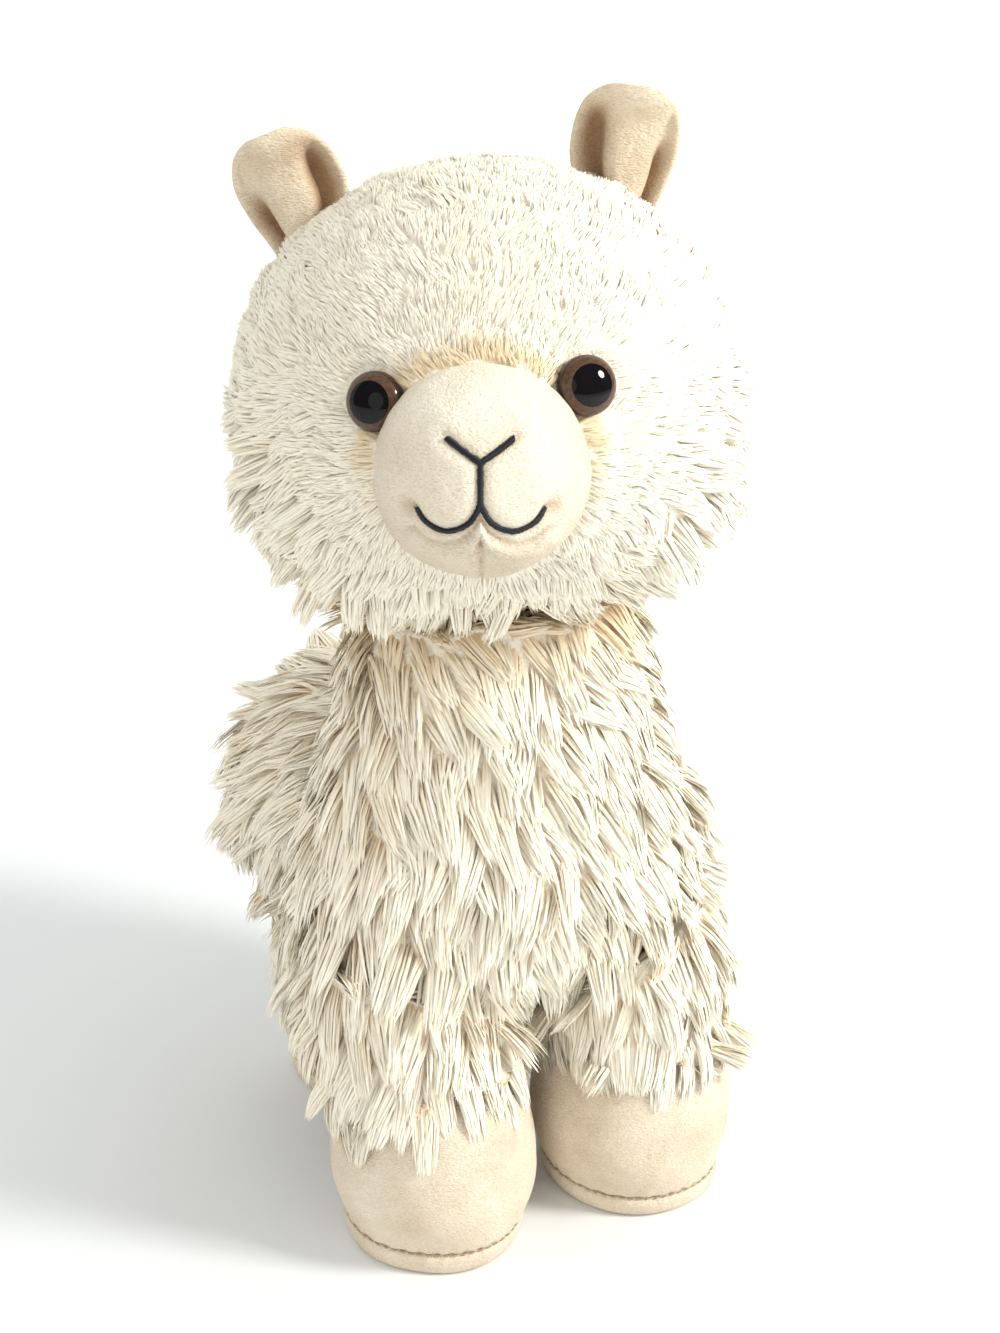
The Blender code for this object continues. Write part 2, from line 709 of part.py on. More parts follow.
def body_point(turn, polar, swell=0.0):
    out = math.sin(polar)
    direction = Vector((out * math.cos(turn), out * math.sin(turn), math.cos(polar)))
    near, far = 0.0, BODY_REACH
    for _ in range(HALVINGS):
        middle = (near + far) / 2
        if blend_depth(BODY_CENTRE + direction * middle) < swell:
            near = middle
        else:
            far = middle
    return BODY_CENTRE + direction * near


def body_pile(turn, polar):
    neck = smooth_step(*NECK_EDGE, polar)
    belly = smooth_step(*BELLY_EDGE, polar)
    return LONG_PILE * neck * belly


def build_body(parent, fur, envelope):
    polars = [math.pi * along for along in row_alongs(BODY_ROWS)]
    gains = lock_gains(BODY_SEED, BODY_ROWS, BODY_SEGMENTS)
    rings = fur_rings(body_point, polars, BODY_SEGMENTS, body_pile, gains, BODY_CENTRE)
    mesh = ringed_mesh("body", body_point(0, 0), rings, body_point(0, math.pi))
    body = add_object("body", mesh, fur, parent)
    subtract(body, envelope)
    return body


def body_envelope(parent):
    """The space that the body takes, with its clearance."""
    swell = SEAT_GAP + FACET_ALLOWANCE
    turns = [math.tau * j / ENVELOPE_SEGMENTS for j in range(ENVELOPE_SEGMENTS)]
    rings = []
    for i in range(BODY_ENVELOPE_RINGS):
        polar = math.pi * (i + 1) / (BODY_ENVELOPE_RINGS + 1)
        rings.append([body_point(turn, polar, swell) for turn in turns])
    mesh = ringed_mesh("body_envelope", body_point(0, 0, swell), rings, body_point(0, math.pi, swell))
    return hide_cutter(add_object("body_envelope", mesh, None, parent))


# Legs


def boot_profile(leg):
    """(share of the half sizes, height) up the side of a boot to its crown."""
    profile = []
    foot = SOLE_THICKNESS + SEAT_GAP
    for i in range(3):
        rise = i / 2
        share = BOOT_FOOT_SHARE + (1 - BOOT_FOOT_SHARE) * math.sin(math.pi / 2 * rise)
        profile.append((share, foot + (BOOT_WIDEST - foot) * rise))
    for degrees in BOOT_CROWN_DEGREES:
        turn = math.radians(degrees)
        share = math.cos(turn) ** (2 / BOOT_FULLNESS)
        height = math.sin(turn) ** (2 / BOOT_FULLNESS)
        profile.append((share, BOOT_WIDEST + (leg["boot_height"] - BOOT_WIDEST) * height))
    return profile


def boot_share(leg, height):
    """How full the boot still is at a height above its widest ring."""
    rise = (height - BOOT_WIDEST) / (leg["boot_height"] - BOOT_WIDEST)
    return (1 - rise**BOOT_FULLNESS) ** (1 / BOOT_FULLNESS)


def leg_middle(leg, height, lean=0.0):
    """The leg's axis, whose lean is 0 over the foot and 1 at the shoulder."""
    x, y = (foot + (top - foot) * lean for foot, top in zip(leg["foot"], leg["top"]))
    return Vector((x, y, height))


def leg_point(leg, turn, half_width, half_length, height, lean=0.0):
    out = Vector((half_width * math.cos(turn), half_length * math.sin(turn), 0.0))
    return leg_middle(leg, height, lean) + out


def leg_turns():
    return [math.tau * j / LEG_SEGMENTS for j in range(LEG_SEGMENTS)]


def leg_ring(leg, half_width, half_length, height, lean=0.0):
    return [leg_point(leg, turn, half_width, half_length, height, lean) for turn in leg_turns()]


def hem_tilt(leg, turn):
    """How far the hem stands above its middle, where it is higher on one side."""
    return leg["tilt"] * leg["half_width"] * math.cos(turn)


def build_foot(name, leg, parent, boot_velour, sole_velour):
    wide, long_way = leg["boot_half_width"], leg["boot_half_length"]
    rings = [leg_ring(leg, wide * share, long_way * share, height) for share, height in boot_profile(leg)]
    foot = leg_middle(leg, SOLE_THICKNESS + SEAT_GAP)
    boot_mesh = ringed_mesh(f"foot_{name}", foot, rings, leg_middle(leg, leg["boot_height"]))
    boot = add_object(f"foot_{name}", boot_mesh, boot_velour, parent)
    boot.data.set_sharp_from_angle(angle=BOOT_SHARP)

    levels = ((SOLE_SHARE - SOLE_ROUNDING, 0.0), (SOLE_SHARE, SOLE_EDGE), (SOLE_SHARE, SOLE_THICKNESS))
    rings = [leg_ring(leg, wide * share, long_way * share, height) for share, height in levels]
    sole_mesh = ringed_mesh(f"sole_{name}", leg_middle(leg, 0.0), rings, leg_middle(leg, SOLE_THICKNESS))
    sole = add_object(f"sole_{name}", sole_mesh, sole_velour, parent)
    sole.data.set_sharp_from_angle(angle=SOLE_SHARP)


def build_sleeve(name, leg, parent, fur, envelope, seed):
    """The furry leg: a crown inside the body, rows of locks and a fringe over the boot."""
    rings = []
    for degrees in SLEEVE_CROWN_DEGREES:
        turn = math.radians(degrees)
        wide, long_way = leg["half_width"] * math.sin(turn), leg["half_length"] * math.sin(turn)
        rings.append(leg_ring(leg, wide, long_way, leg["shoulder"] + leg["crown"] * math.cos(turn), 1.0))
    gains = lock_gains(seed, LEG_ROWS, LEG_SEGMENTS)

    def sleeve_point(turn, along):
        flare = 1 + (leg["flare"] - 1) * along
        height = leg["shoulder"] + (leg["hem"] - leg["shoulder"]) * along + hem_tilt(leg, turn) * along
        lean = HEM_LEAN + (1 - HEM_LEAN) * smooth_step(1.0, 0.0, along)
        return leg_point(leg, turn, leg["half_width"] * flare, leg["half_length"] * flare, height, lean)

    def sleeve_pile(turn, along):
        return LONG_PILE * LEG_PILE_SHARE * smooth_step(LEG_PILE_START, LEG_PILE_FULL, along)

    alongs = [along * SLEEVE_ROWS_END for along in row_alongs(LEG_ROWS)]
    middle = (leg_middle(leg, leg["shoulder"], 1.0) + leg_middle(leg, leg["hem"])) / 2
    rings += fur_rings(sleeve_point, alongs, LEG_SEGMENTS, sleeve_pile, gains, middle, LEG_ROW_WAVE)

    draw = random.Random(seed + 1)
    wide = leg["half_width"] * leg["flare"] - FRINGE_TUCK
    long_way = leg["half_length"] * leg["flare"] - FRINGE_TUCK
    fringe = leg_ring(leg, wide, long_way, leg["hem"], HEM_LEAN)
    for j, (turn, point) in enumerate(zip(leg_turns(), fringe)):
        drop = (-FRINGE_DROP if j % 2 else FRINGE_RISE) * draw.uniform(*FRINGE_RANGE)
        point.z += drop + hem_tilt(leg, turn)
    rings.append(fringe)
    gap = SEAT_GAP + FACET_ALLOWANCE
    lining = []
    for turn in leg_turns():
        height = leg["hem"] + FRINGE_RISE * LINING_RISE + hem_tilt(leg, turn)
        share = boot_share(leg, height)
        wide = leg["boot_half_width"] * share + gap
        long_way = leg["boot_half_length"] * share + gap
        lining.append(leg_point(leg, turn, wide, long_way, height + gap))
    rings.append(lining)
    above = leg["hem"] + abs(hem_tilt(leg, 0.0)) + FRINGE_RISE * (LINING_RISE + 1)
    for share, height in boot_profile(leg):
        if height > above:
            wide = leg["boot_half_width"] * share + gap
            long_way = leg["boot_half_length"] * share + gap
            rings.append(leg_ring(leg, wide, long_way, height + gap))
    top = leg_middle(leg, leg["shoulder"] + leg["crown"], 1.0)
    roof = leg_middle(leg, leg["boot_height"]) + Vector((0.0, 0.0, gap))
    sleeve = add_object(f"leg_{name}", ringed_mesh(f"leg_{name}", top, rings, roof), fur, parent)
    subtract(sleeve, envelope)


# Tail


def build_tail(parent, fur, envelope):
    """A tuft that leaves the rump and droops, with pointed locks at its end."""
    way = Vector((0.0, math.cos(TAIL_DROOP), -math.sin(TAIL_DROOP)))
    up = Vector((0.0, math.sin(TAIL_DROOP), math.cos(TAIL_DROOP)))
    rings = []
    for i, (along, share) in enumerate(TAIL_RINGS):
        ring = []
        for j in range(TAIL_SEGMENTS):
            turn = math.tau * j / TAIL_SEGMENTS
            reach = along * (1 + TAIL_JAG * ((j + i) % 2))
            out = Vector((math.cos(turn), 0, 0)) + up * math.sin(turn)
            ring.append(TAIL_ROOT + way * TAIL_LENGTH * reach + out * TAIL_RADIUS * share)
        rings.append(ring)
    mesh = ringed_mesh("tail", TAIL_ROOT, rings, TAIL_ROOT + way * TAIL_LENGTH * TAIL_TIP)
    tail = add_object("tail", mesh, fur, parent)
    subtract(tail, envelope)


def centre_on_origin(root):
    """Moves the whole toy so that the origin is under the middle of its box, on the floor."""
    graph = bpy.context.evaluated_depsgraph_get()
    low, high = Vector((1e9, 1e9, 1e9)), Vector((-1e9, -1e9, -1e9))
    for made in bpy.data.objects:
        if made.type != "MESH" or made.hide_render:
            continue
        shape = made.evaluated_get(graph)
        for vertex in shape.data.vertices:
            place = shape.matrix_world @ vertex.co
            low = Vector([min(a, b) for a, b in zip(low, place)])
            high = Vector([max(a, b) for a, b in zip(high, place)])
    root.location = (-(low.x + high.x) / 2, -(low.y + high.y) / 2, -low.z)
    bpy.context.view_layer.update()


def main():
    clear_scene()
    fur = principled("cream_long_pile", CREAM_FUR, 0.95)
    boot_velour = principled("beige_velour", BEIGE_VELOUR, 0.9)
    face_velour = principled("pale_velour", PALE_VELOUR, 0.9)
    plastic = principled("brown_plastic", EYE_BROWN, 0.12)
    washer_plastic = principled("white_plastic", WASHER_WHITE, 0.5)
    thread = principled("black_thread", THREAD_BLACK, 0.6)

    root = add_empty("llama")
    neck_joint = add_empty("head_frame", root)
    head_turn = Matrix.Rotation(HEAD_YAW, 4, "Z") @ Matrix.Rotation(-HEAD_ROLL, 4, "Y")
    neck_joint.matrix_basis = Matrix.Translation(HEAD_CENTRE) @ head_turn
    muzzle_frame = add_empty("muzzle_frame", neck_joint)
    muzzle_place = Matrix.Translation((MUZZLE_ACROSS, -MUZZLE_FORWARD, -MUZZLE_DROP))
    muzzle_frame.matrix_basis = muzzle_place @ Matrix.Rotation(-MUZZLE_ROLL, 4, "Y")

    around_head = head_envelope(neck_joint)
    around_body = body_envelope(root)
    eye_seats = [eye_cutter(side, label, neck_joint) for side, label in ((1, "left"), (-1, "right"))]
    build_head(neck_joint, fur, eye_seats)
    muzzle = build_muzzle(muzzle_frame, face_velour, around_head, eye_seats)
    build_stitching(muzzle_frame, thread, muzzle)
    under_ears = ear_seats(neck_joint)
    for side, label in ((1, "left"), (-1, "right")):
        build_eye(side, label, neck_joint, plastic, washer_plastic)
        build_ear(side, label, neck_joint, boot_velour, under_ears)
    build_body(root, fur, around_head)
    for n, (name, leg) in enumerate(LEGS.items()):
        build_sleeve(name, leg, root, fur, around_body, LEG_SEED + LEG_SEED_STEP * n)
        build_foot(name, leg, root, boot_velour, boot_velour)
    build_tail(root, fur, around_body)
    bpy.context.view_layer.update()
    centre_on_origin(root)


main()
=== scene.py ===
"""Plush llama: fur, velour, eyes and stitching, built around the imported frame."""

import math

import bmesh
import bpy
import numpy as np
from mathutils import Matrix, Vector
from mathutils.bvhtree import BVHTree
from mathutils.kdtree import KDTree


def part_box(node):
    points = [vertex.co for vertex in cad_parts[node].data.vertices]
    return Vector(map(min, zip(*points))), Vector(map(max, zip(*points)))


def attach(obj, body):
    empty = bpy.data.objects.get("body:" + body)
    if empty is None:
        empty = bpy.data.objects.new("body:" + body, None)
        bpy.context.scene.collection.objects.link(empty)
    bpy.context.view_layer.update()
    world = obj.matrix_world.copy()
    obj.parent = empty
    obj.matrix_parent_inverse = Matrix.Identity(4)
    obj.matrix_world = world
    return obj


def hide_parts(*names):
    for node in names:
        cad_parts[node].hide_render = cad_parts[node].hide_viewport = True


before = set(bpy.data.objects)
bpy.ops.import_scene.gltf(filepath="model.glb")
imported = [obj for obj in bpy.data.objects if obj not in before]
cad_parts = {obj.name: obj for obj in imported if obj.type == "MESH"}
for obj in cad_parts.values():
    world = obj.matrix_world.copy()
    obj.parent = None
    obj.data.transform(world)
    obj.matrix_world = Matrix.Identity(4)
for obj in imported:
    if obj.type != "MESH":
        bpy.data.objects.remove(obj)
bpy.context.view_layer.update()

# The frame of the solids, found from a sole
FRONT_LEFT_FOOT = Vector((0.0500, -0.0495, 0.0))
sole_low, sole_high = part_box("sole_front_left")
SHIFT = (sole_low + sole_high) / 2 - FRONT_LEFT_FOOT
SHIFT.z = 0.0

HEAD_CENTRE = Vector((-0.006, -0.058, 0.3005))
HEAD_RADII = np.array((0.080, 0.074, 0.071))
HEAD_YAW = math.radians(-17.3)
HEAD_ROLL = math.radians(4.5)
MUZZLE_PLACE = Vector((-0.0015, -0.0715, -0.0048))
MUZZLE_RADII = np.array((0.0301, 0.0310, 0.0306))
MUZZLE_ROLL = math.radians(-4.5)

head_frame = Matrix.Translation(SHIFT + HEAD_CENTRE) @ Matrix.Rotation(HEAD_YAW, 4, "Z")
head_frame = head_frame @ Matrix.Rotation(-HEAD_ROLL, 4, "Y")
muzzle_frame = head_frame @ Matrix.Translation(MUZZLE_PLACE) @ Matrix.Rotation(-MUZZLE_ROLL, 4, "Y")

# Eyes, in the frame of the head
EYE_RADIUS = 0.0085
EYE_RIM = 0.0012
EYE_DOME = 0.0052
EYE_ACROSS = 0.0300
EYE_RISE = 0.0163
EYE_SINK = 0.0030
PUPIL_SHARE = 0.70

# Camera, fitted to the soles, the head and the ears
CAMERA_PLACE = Vector((-0.1967, -0.6839, 0.479))
CAMERA_TURN = math.radians(-17.3)
CAMERA_PITCH = math.radians(22.5)
CAMERA_LENS = 59.41


def smooth_step(low, high, value):
    share = np.clip((np.asarray(value, float) - low) / (high - low), 0.0, 1.0)
    return share * share * (3 - 2 * share)


def unit(vectors):
    length = np.linalg.norm(vectors, axis=-1, keepdims=True)
    return vectors / np.maximum(length, 1e-9)


def moved(points, matrix, turn_only=False):
    m = np.array(matrix)
    out = points @ m[:3, :3].T
    return out if turn_only else out + m[:3, 3]


def wobble(points, size, seed):
    """A smooth field of about -1 to 1 whose lumps are of that size."""
    draw = np.random.default_rng(seed)
    total = np.zeros(len(points))
    for _ in range(7):
        way = unit(draw.normal(size=3)) * math.tau / (size * draw.uniform(0.7, 1.5))
        total += np.sin(points @ way + draw.uniform(0, math.tau))
    return total / 3.0


# Materials

WHITE = (1.0, 1.0, 1.0)
# Colours of painted shade: in the velour's creases and pleats, and deep in the pile.
PAINTED_FOLD_SHADE = (0.50, 0.36, 0.25)
SHADED_PILE = (0.84, 0.68, 0.48)
SHEEN_ROUGHNESS = 0.45
EYE_IOR = 1.36


def new_material(name, roughness, sheen=0.0):
    material = bpy.data.materials.new(name)
    material.use_nodes = True
    shader = material.node_tree.nodes["Principled BSDF"]
    shader.inputs["Roughness"].default_value = roughness
    shader.inputs["Sheen Weight"].default_value = sheen
    shader.inputs["Sheen Roughness"].default_value = SHEEN_ROUGHNESS
    return material, material.node_tree, shader


def add_noise(tree, scale, detail=2.0, vector=None):
    noise = tree.nodes.new("ShaderNodeTexNoise")
    noise.inputs["Scale"].default_value = scale
    noise.inputs["Detail"].default_value = detail
    if vector is None:
        vector = tree.nodes.new("ShaderNodeTexCoord").outputs["Object"]
    tree.links.new(vector, noise.inputs["Vector"])
    return noise.outputs["Fac"]


def add_ramp(tree, value, stops):
    ramp = tree.nodes.new("ShaderNodeValToRGB")
    tree.links.new(value, ramp.inputs["Fac"])
    while len(ramp.color_ramp.elements) < len(stops):
        ramp.color_ramp.elements.new(0.5)
    for element, (place, colour) in zip(ramp.color_ramp.elements, stops):
        element.position = place
        element.color = (*colour, 1.0)
    return ramp.outputs["Color"]


def add_mix(tree, factor, first, second, blend="MIX"):
    mix = tree.nodes.new("ShaderNodeMix")
    mix.data_type = "RGBA"
    mix.blend_type = blend
    if isinstance(factor, float):
        mix.inputs["Factor"].default_value = factor
    else:
        tree.links.new(factor, mix.inputs["Factor"])
    for socket, colour in ((mix.inputs["A"], first), (mix.inputs["B"], second)):
        if isinstance(colour, tuple):
            socket.default_value = (*colour, 1.0)
        else:
            tree.links.new(colour, socket)
    return mix.outputs["Result"]


def add_bump(tree, shader, height, distance, strength=1.0, below=None):
    bump = tree.nodes.new("ShaderNodeBump")
    bump.inputs["Strength"].default_value = strength
    bump.inputs["Distance"].default_value = distance
    tree.links.new(height, bump.inputs["Height"])
    if below is not None:
        tree.links.new(below, bump.inputs["Normal"])
    tree.links.new(bump.outputs["Normal"], shader.inputs["Normal"])
    return bump.outputs["Normal"]


def velour(name, deep, mid, light, nap_scale):
    """Short pile: brushed patches of lighter and deeper nap over a fine grain, darkened by painted shade from
    the 'fold' attribute.
    """
    material, tree, shader = new_material(name, 0.88, 0.30)
    shader.inputs["Sheen Tint"].default_value = (*light, 1.0)
    patches = add_noise(tree, 55.0, 4.0)
    colour = add_ramp(tree, patches, ((0.28, deep), (0.50, mid), (0.72, light)))
    place = tree.nodes.new("ShaderNodeMapping")
    place.inputs["Scale"].default_value = (0.7, 0.7, 1.7)
    tree.links.new(tree.nodes.new("ShaderNodeTexCoord").outputs["Object"], place.inputs["Vector"])
    grain = add_noise(tree, nap_scale, 3.0, place.outputs["Vector"])
    speckle = add_ramp(tree, grain, ((0.32, (0.80, 0.76, 0.70)), (0.56, WHITE)))
    # Painted shade: the 'fold' attribute darkens the velour in its creases and pleats, and under and beside
    # the muzzle.
    fold = tree.nodes.new("ShaderNodeAttribute")
    fold.attribute_name = "fold"
    painted_tint = add_ramp(tree, fold.outputs["Fac"], ((0.0, WHITE), (1.0, PAINTED_FOLD_SHADE)))
    napped = add_mix(tree, 0.75, colour, speckle, "MULTIPLY")
    tree.links.new(add_mix(tree, 1.0, napped, painted_tint, "MULTIPLY"), shader.inputs["Base Color"])
    soft = add_bump(tree, shader, add_noise(tree, 260.0, 4.0), 0.0012, 0.55)
    add_bump(tree, shader, grain, 0.0010, 0.85, soft)
    return material


def pile_material(name, root, mid, tip):
    """Long pile: deeper and warmer at its roots, with fine streaks along each tuft, and deeper and warmer
    still where painted shade lowers its tone.
    """
    material, tree, shader = new_material(name, 0.72, 0.25)
    shader.inputs["Sheen Tint"].default_value = (*tip, 1.0)
    place = tree.nodes.new("ShaderNodeAttribute")
    place.attribute_name = "tuft"
    parts = tree.nodes.new("ShaderNodeSeparateXYZ")
    tree.links.new(place.outputs["Vector"], parts.inputs["Vector"])
    along, tone_and_shade, grain = parts.outputs
    colour = add_ramp(tree, along, ((0.0, root), (0.35, mid), (0.85, tip)))
    # Painted shade: where shade_of lowered the tone, the pile turns deeper and warmer.
    toned_and_shaded = add_ramp(tree, tone_and_shade, ((0.0, SHADED_PILE), (0.45, (0.975, 0.95, 0.91)), (1.0, WHITE)))
    streak_place = tree.nodes.new("ShaderNodeCombineXYZ")
    tree.links.new(grain, streak_place.inputs["X"])
    tree.links.new(along, streak_place.inputs["Y"])
    streaks = add_noise(tree, 8.0, 3.0, streak_place.outputs["Vector"])
    lines = add_ramp(tree, streaks, ((0.38, (0.90, 0.85, 0.78)), (0.58, WHITE)))
    shaded = add_mix(tree, 1.0, add_mix(tree, 1.0, colour, toned_and_shaded, "MULTIPLY"), lines, "MULTIPLY")
    tree.links.new(shaded, shader.inputs["Base Color"])
    add_bump(tree, shader, streaks, 0.0002, 0.3)
    return material


def skin_material(name, deep, light):
    """The dense underfur that shows between the tufts."""
    material, tree, shader = new_material(name, 0.9, 0.3)
    shader.inputs["Sheen Tint"].default_value = (*light, 1.0)
    fine = add_noise(tree, 800.0, 3.0)
    patches = add_noise(tree, 70.0, 3.0)
    colour = add_ramp(tree, patches, ((0.3, deep), (0.7, light)))
    speckle = add_ramp(tree, fine, ((0.3, (0.88, 0.85, 0.80)), (0.60, WHITE)))
    tree.links.new(add_mix(tree, 0.8, colour, speckle, "MULTIPLY"), shader.inputs["Base Color"])
    add_bump(tree, shader, fine, 0.0011, 0.8)
    return material


FUR = pile_material("cream_pile", (0.93, 0.76, 0.54), (0.975, 0.905, 0.75), (0.99, 0.96, 0.85))
UNDERFUR = skin_material("cream_underfur", (0.96, 0.87, 0.71), (0.98, 0.93, 0.81))
BOOT = velour("boot_velour", (0.74, 0.61, 0.45), (0.84, 0.72, 0.56), (0.91, 0.81, 0.66), 1500.0)
FACE = velour("muzzle_velour", (0.84, 0.74, 0.57), (0.90, 0.81, 0.65), (0.95, 0.88, 0.74), 1500.0)
EAR = velour("ear_velour", (0.72, 0.57, 0.40), (0.84, 0.71, 0.53), (0.90, 0.80, 0.64), 1300.0)
SEAM = velour("seam_thread", (0.50, 0.38, 0.25), (0.56, 0.43, 0.29), (0.62, 0.49, 0.34), 3000.0)


def plain(name, colour, roughness, grain_scale, grain_share, ior=None):
    """Moulded plastic or thread: one colour with a faint grain."""
    material, tree, shader = new_material(name, roughness)
    low = tuple(c * (1 - grain_share) for c in colour)
    noise = add_noise(tree, grain_scale, 3.0)
    tree.links.new(add_ramp(tree, noise, ((0.3, low), (0.7, colour))), shader.inputs["Base Color"])
    if ior is not None:
        shader.inputs["IOR"].default_value = ior
    return material


IRIS = plain("iris_brown", (0.120, 0.066, 0.042), 0.10, 900.0, 0.45, EYE_IOR)
RIM = plain("iris_rim", (0.040, 0.022, 0.016), 0.12, 900.0, 0.30, EYE_IOR)
PUPIL = plain("pupil_black", (0.006, 0.005, 0.006), 0.05, 500.0, 0.30, EYE_IOR)
THREAD = plain("black_satin_thread", (0.016, 0.018, 0.026), 0.42, 2500.0, 0.4)
WASHER = plain("washer_plastic", (0.80, 0.80, 0.78), 0.5, 400.0, 0.05)


# Meshes


def placed(name, data):
    """An object of that data, put into the scene."""
    made = bpy.data.objects.new(name, data)
    bpy.context.scene.collection.objects.link(made)
    return made


def add_mesh_object(name, vertices, faces, materials):
    mesh = bpy.data.meshes.new(name)
    mesh.from_pydata([tuple(v) for v in vertices], [], [tuple(f) for f in faces])
    made = placed(name, mesh)
    for material in materials:
        mesh.materials.append(material)
    mesh.shade_smooth()
    return made


def finish_piece(piece, nodes=()):
    """Ties a piece to the root body of the frame and hides the solids it stands for."""
    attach(piece, "root")
    if nodes:
        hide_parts(*nodes)
    return piece


def grid_faces(rings, columns):
    """Quads of a closed tube of rings, its two ends closed by poles."""
    start, end = 0, 1 + rings * columns
    faces = []
    for j in range(columns):
        k = (j + 1) % columns
        faces.append((start, 1 + j, 1 + k))
        faces.append((end, 1 + (rings - 1) * columns + k, 1 + (rings - 1) * columns + j))
        for i in range(rings - 1):
            a = 1 + i * columns
            faces.append((a + j, a + columns + j, a + columns + k, a + k))
    return faces


def outward(made):
    """Turns the faces of a closed mesh outward."""
    bm = bmesh.new()
    bm.from_mesh(made.data)
    bmesh.ops.recalc_face_normals(bm, faces=bm.faces)
    if bm.calc_volume(signed=True) < 0:
        bmesh.ops.reverse_faces(bm, faces=bm.faces)
    bm.to_mesh(made.data)
    bm.free()
    return made


def tube(name, first, rings, last, materials):
    columns = len(rings[0])
    vertices = [first] + [point for ring in rings for point in ring] + [last]
    return outward(add_mesh_object(name, vertices, grid_faces(len(rings), columns), materials))


def set_painted_shade(made, painted_shades):
    """Keeps the painted shade of each vertex, in folds and creases and under the muzzle, for the velour's
    colour.
    """
    kept = made.data.attributes.new("fold", "FLOAT", "POINT")
    kept.data.foreach_set("value", np.array(painted_shades, np.float32))


def applied(made):
    """Replaces the object's mesh by what its modifiers make of it."""
    graph = bpy.context.evaluated_depsgraph_get()
    mesh = bpy.data.meshes.new_from_object(made.evaluated_get(graph))
    made.modifiers.clear()
    made.data = mesh
    return made


def head_shell(name, sink):
    """The smooth ball of the head, sunk by some depth."""
    rings = []
    radii = HEAD_RADII - sink
    count, columns = 48, 64
    turn = np.arange(columns) * math.tau / columns
    for i in range(1, count):
        polar = math.pi * i / count
        out = math.sin(polar)
        local = np.stack((out * np.cos(turn), np.full(columns, -math.cos(polar)), out * np.sin(turn)), axis=1)
        rings.append(moved(local * radii, head_frame))
    poles = moved(np.array(((0, -radii[1], 0), (0, radii[1], 0))), head_frame)
    return tube(name, poles[0], rings, poles[1], ())


def trim(piece, cutter):
    """Cuts away what lies inside the cutter."""
    cut = piece.modifiers.new("seat", "BOOLEAN")
    cut.operation = "DIFFERENCE"
    cut.solver = "EXACT"
    cut.object = cutter
    applied(piece)
    piece.data.shade_smooth()


def eye_frame(side):
    """The matrix that takes an eye's own axis, +Z outward, to its seat on the head."""
    wide, deep, high = HEAD_RADII
    flat = (EYE_ACROSS / wide) ** 2 + (EYE_RISE / high) ** 2
    seat = Vector((side * EYE_ACROSS, -deep * math.sqrt(1 - flat), EYE_RISE))
    way = Vector((seat.x / wide**2, seat.y / deep**2, seat.z / high**2)).normalized()
    turn = way.to_track_quat("Z", "Y").to_matrix().to_4x4()
    return head_frame @ Matrix.Translation(seat - way * EYE_SINK) @ turn


# Fur

LOCK_ROUNDS = 7
LOCK_PAST = 0.0024
SKIN_VOXEL = 0.0026
SKIN_EASING = 14
SEAM_NEAR = 0.0015
SEAM_CLEAR = 0.0100
SOCKET_REACH = 0.0030
SOCKET_EDGE = 0.0008
SOCKET_DROP = 0.0012
EYE_SIDE = 0.02
SOLID_REACH = 0.012
COVER_RISE = 0.004
COVER_DEPTH = 0.0015
SPARE_SHARE = 2.6
SOFT_LONG = 0.8
SOFT_SHORT = 1.8
STRAND_TWIST = 0.35
STRAND_ROUNDING = 0.55
STRAND_TAPER = 0.30
STRAND_SCATTER = 0.030
STRAND_DROOP = 0.06
STRAND_ROOTING = 0.0006
BEND_AT = 0.42
BEND_RISE = 0.15
BRUSH_SPREAD = 0.42
TONE = 0.72
TONE_PATCHES = 0.12
TONE_SPREAD = 0.14


def tree_of(node):
    """A search tree over a solid of the frame."""
    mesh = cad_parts[node].data
    return BVHTree.FromPolygons([v.co for v in mesh.vertices], [p.vertices for p in mesh.polygons])


def depth_in(tree, points):
    """How far points lie inside a closed solid, below zero outside."""
    depths = np.zeros(len(points))
    for i, point in enumerate(points):
        place, normal, _, distance = tree.find_nearest(Vector(point))
        inside = (Vector(point) - place).dot(normal) < 0 and distance < SOLID_REACH
        depths[i] = distance if inside else -distance
    return depths


def mesh_points(mesh):
    """The vertices of a mesh and their normals."""
    places, normals = np.zeros(len(mesh.vertices) * 3), np.zeros(len(mesh.vertices) * 3)
    mesh.vertices.foreach_get("co", places)
    mesh.vertices.foreach_get("normal", normals)
    return places.reshape(-1, 3), normals.reshape(-1, 3)


def draw_in_tips(mesh):
    """Draws the tips of the solid's locks back to the cloth that they grow from."""
    bm = bmesh.new()
    bm.from_mesh(mesh)
    bmesh.ops.remove_doubles(bm, verts=bm.verts, dist=0.00001)
    for _ in range(LOCK_ROUNDS):
        bm.normal_update()
        goals = []
        for vertex in bm.verts:
            around = [edge.other_vert(vertex).co for edge in vertex.link_edges]
            middle = sum(around, Vector()) / len(around)
            past = vertex.co - middle
            if past.length > LOCK_PAST and past.dot(vertex.normal) > 0:
                goals.append((vertex, middle))
        for vertex, middle in goals:
            vertex.co = middle
    bm.to_mesh(mesh)
    bm.free()


def drop_crumbs(made):
    """Keeps a mesh's largest part alone."""
    bm = bmesh.new()
    bm.from_mesh(made.data)
    left = set(bm.verts)
    parts = []
    for first in bm.verts:
        if first not in left:
            continue
        left.discard(first)
        part, ahead = [first], [first]
        while ahead:
            vertex = ahead.pop()
            for edge in vertex.link_edges:
                other = edge.other_vert(vertex)
                if other in left:
                    left.discard(other)
                    part.append(other)
                    ahead.append(other)
        parts.append(part)
    parts.sort(key=len)
    for part in parts[:-1]:
        bmesh.ops.delete(bm, geom=part, context="VERTS")
    bm.to_mesh(made.data)
    bm.free()


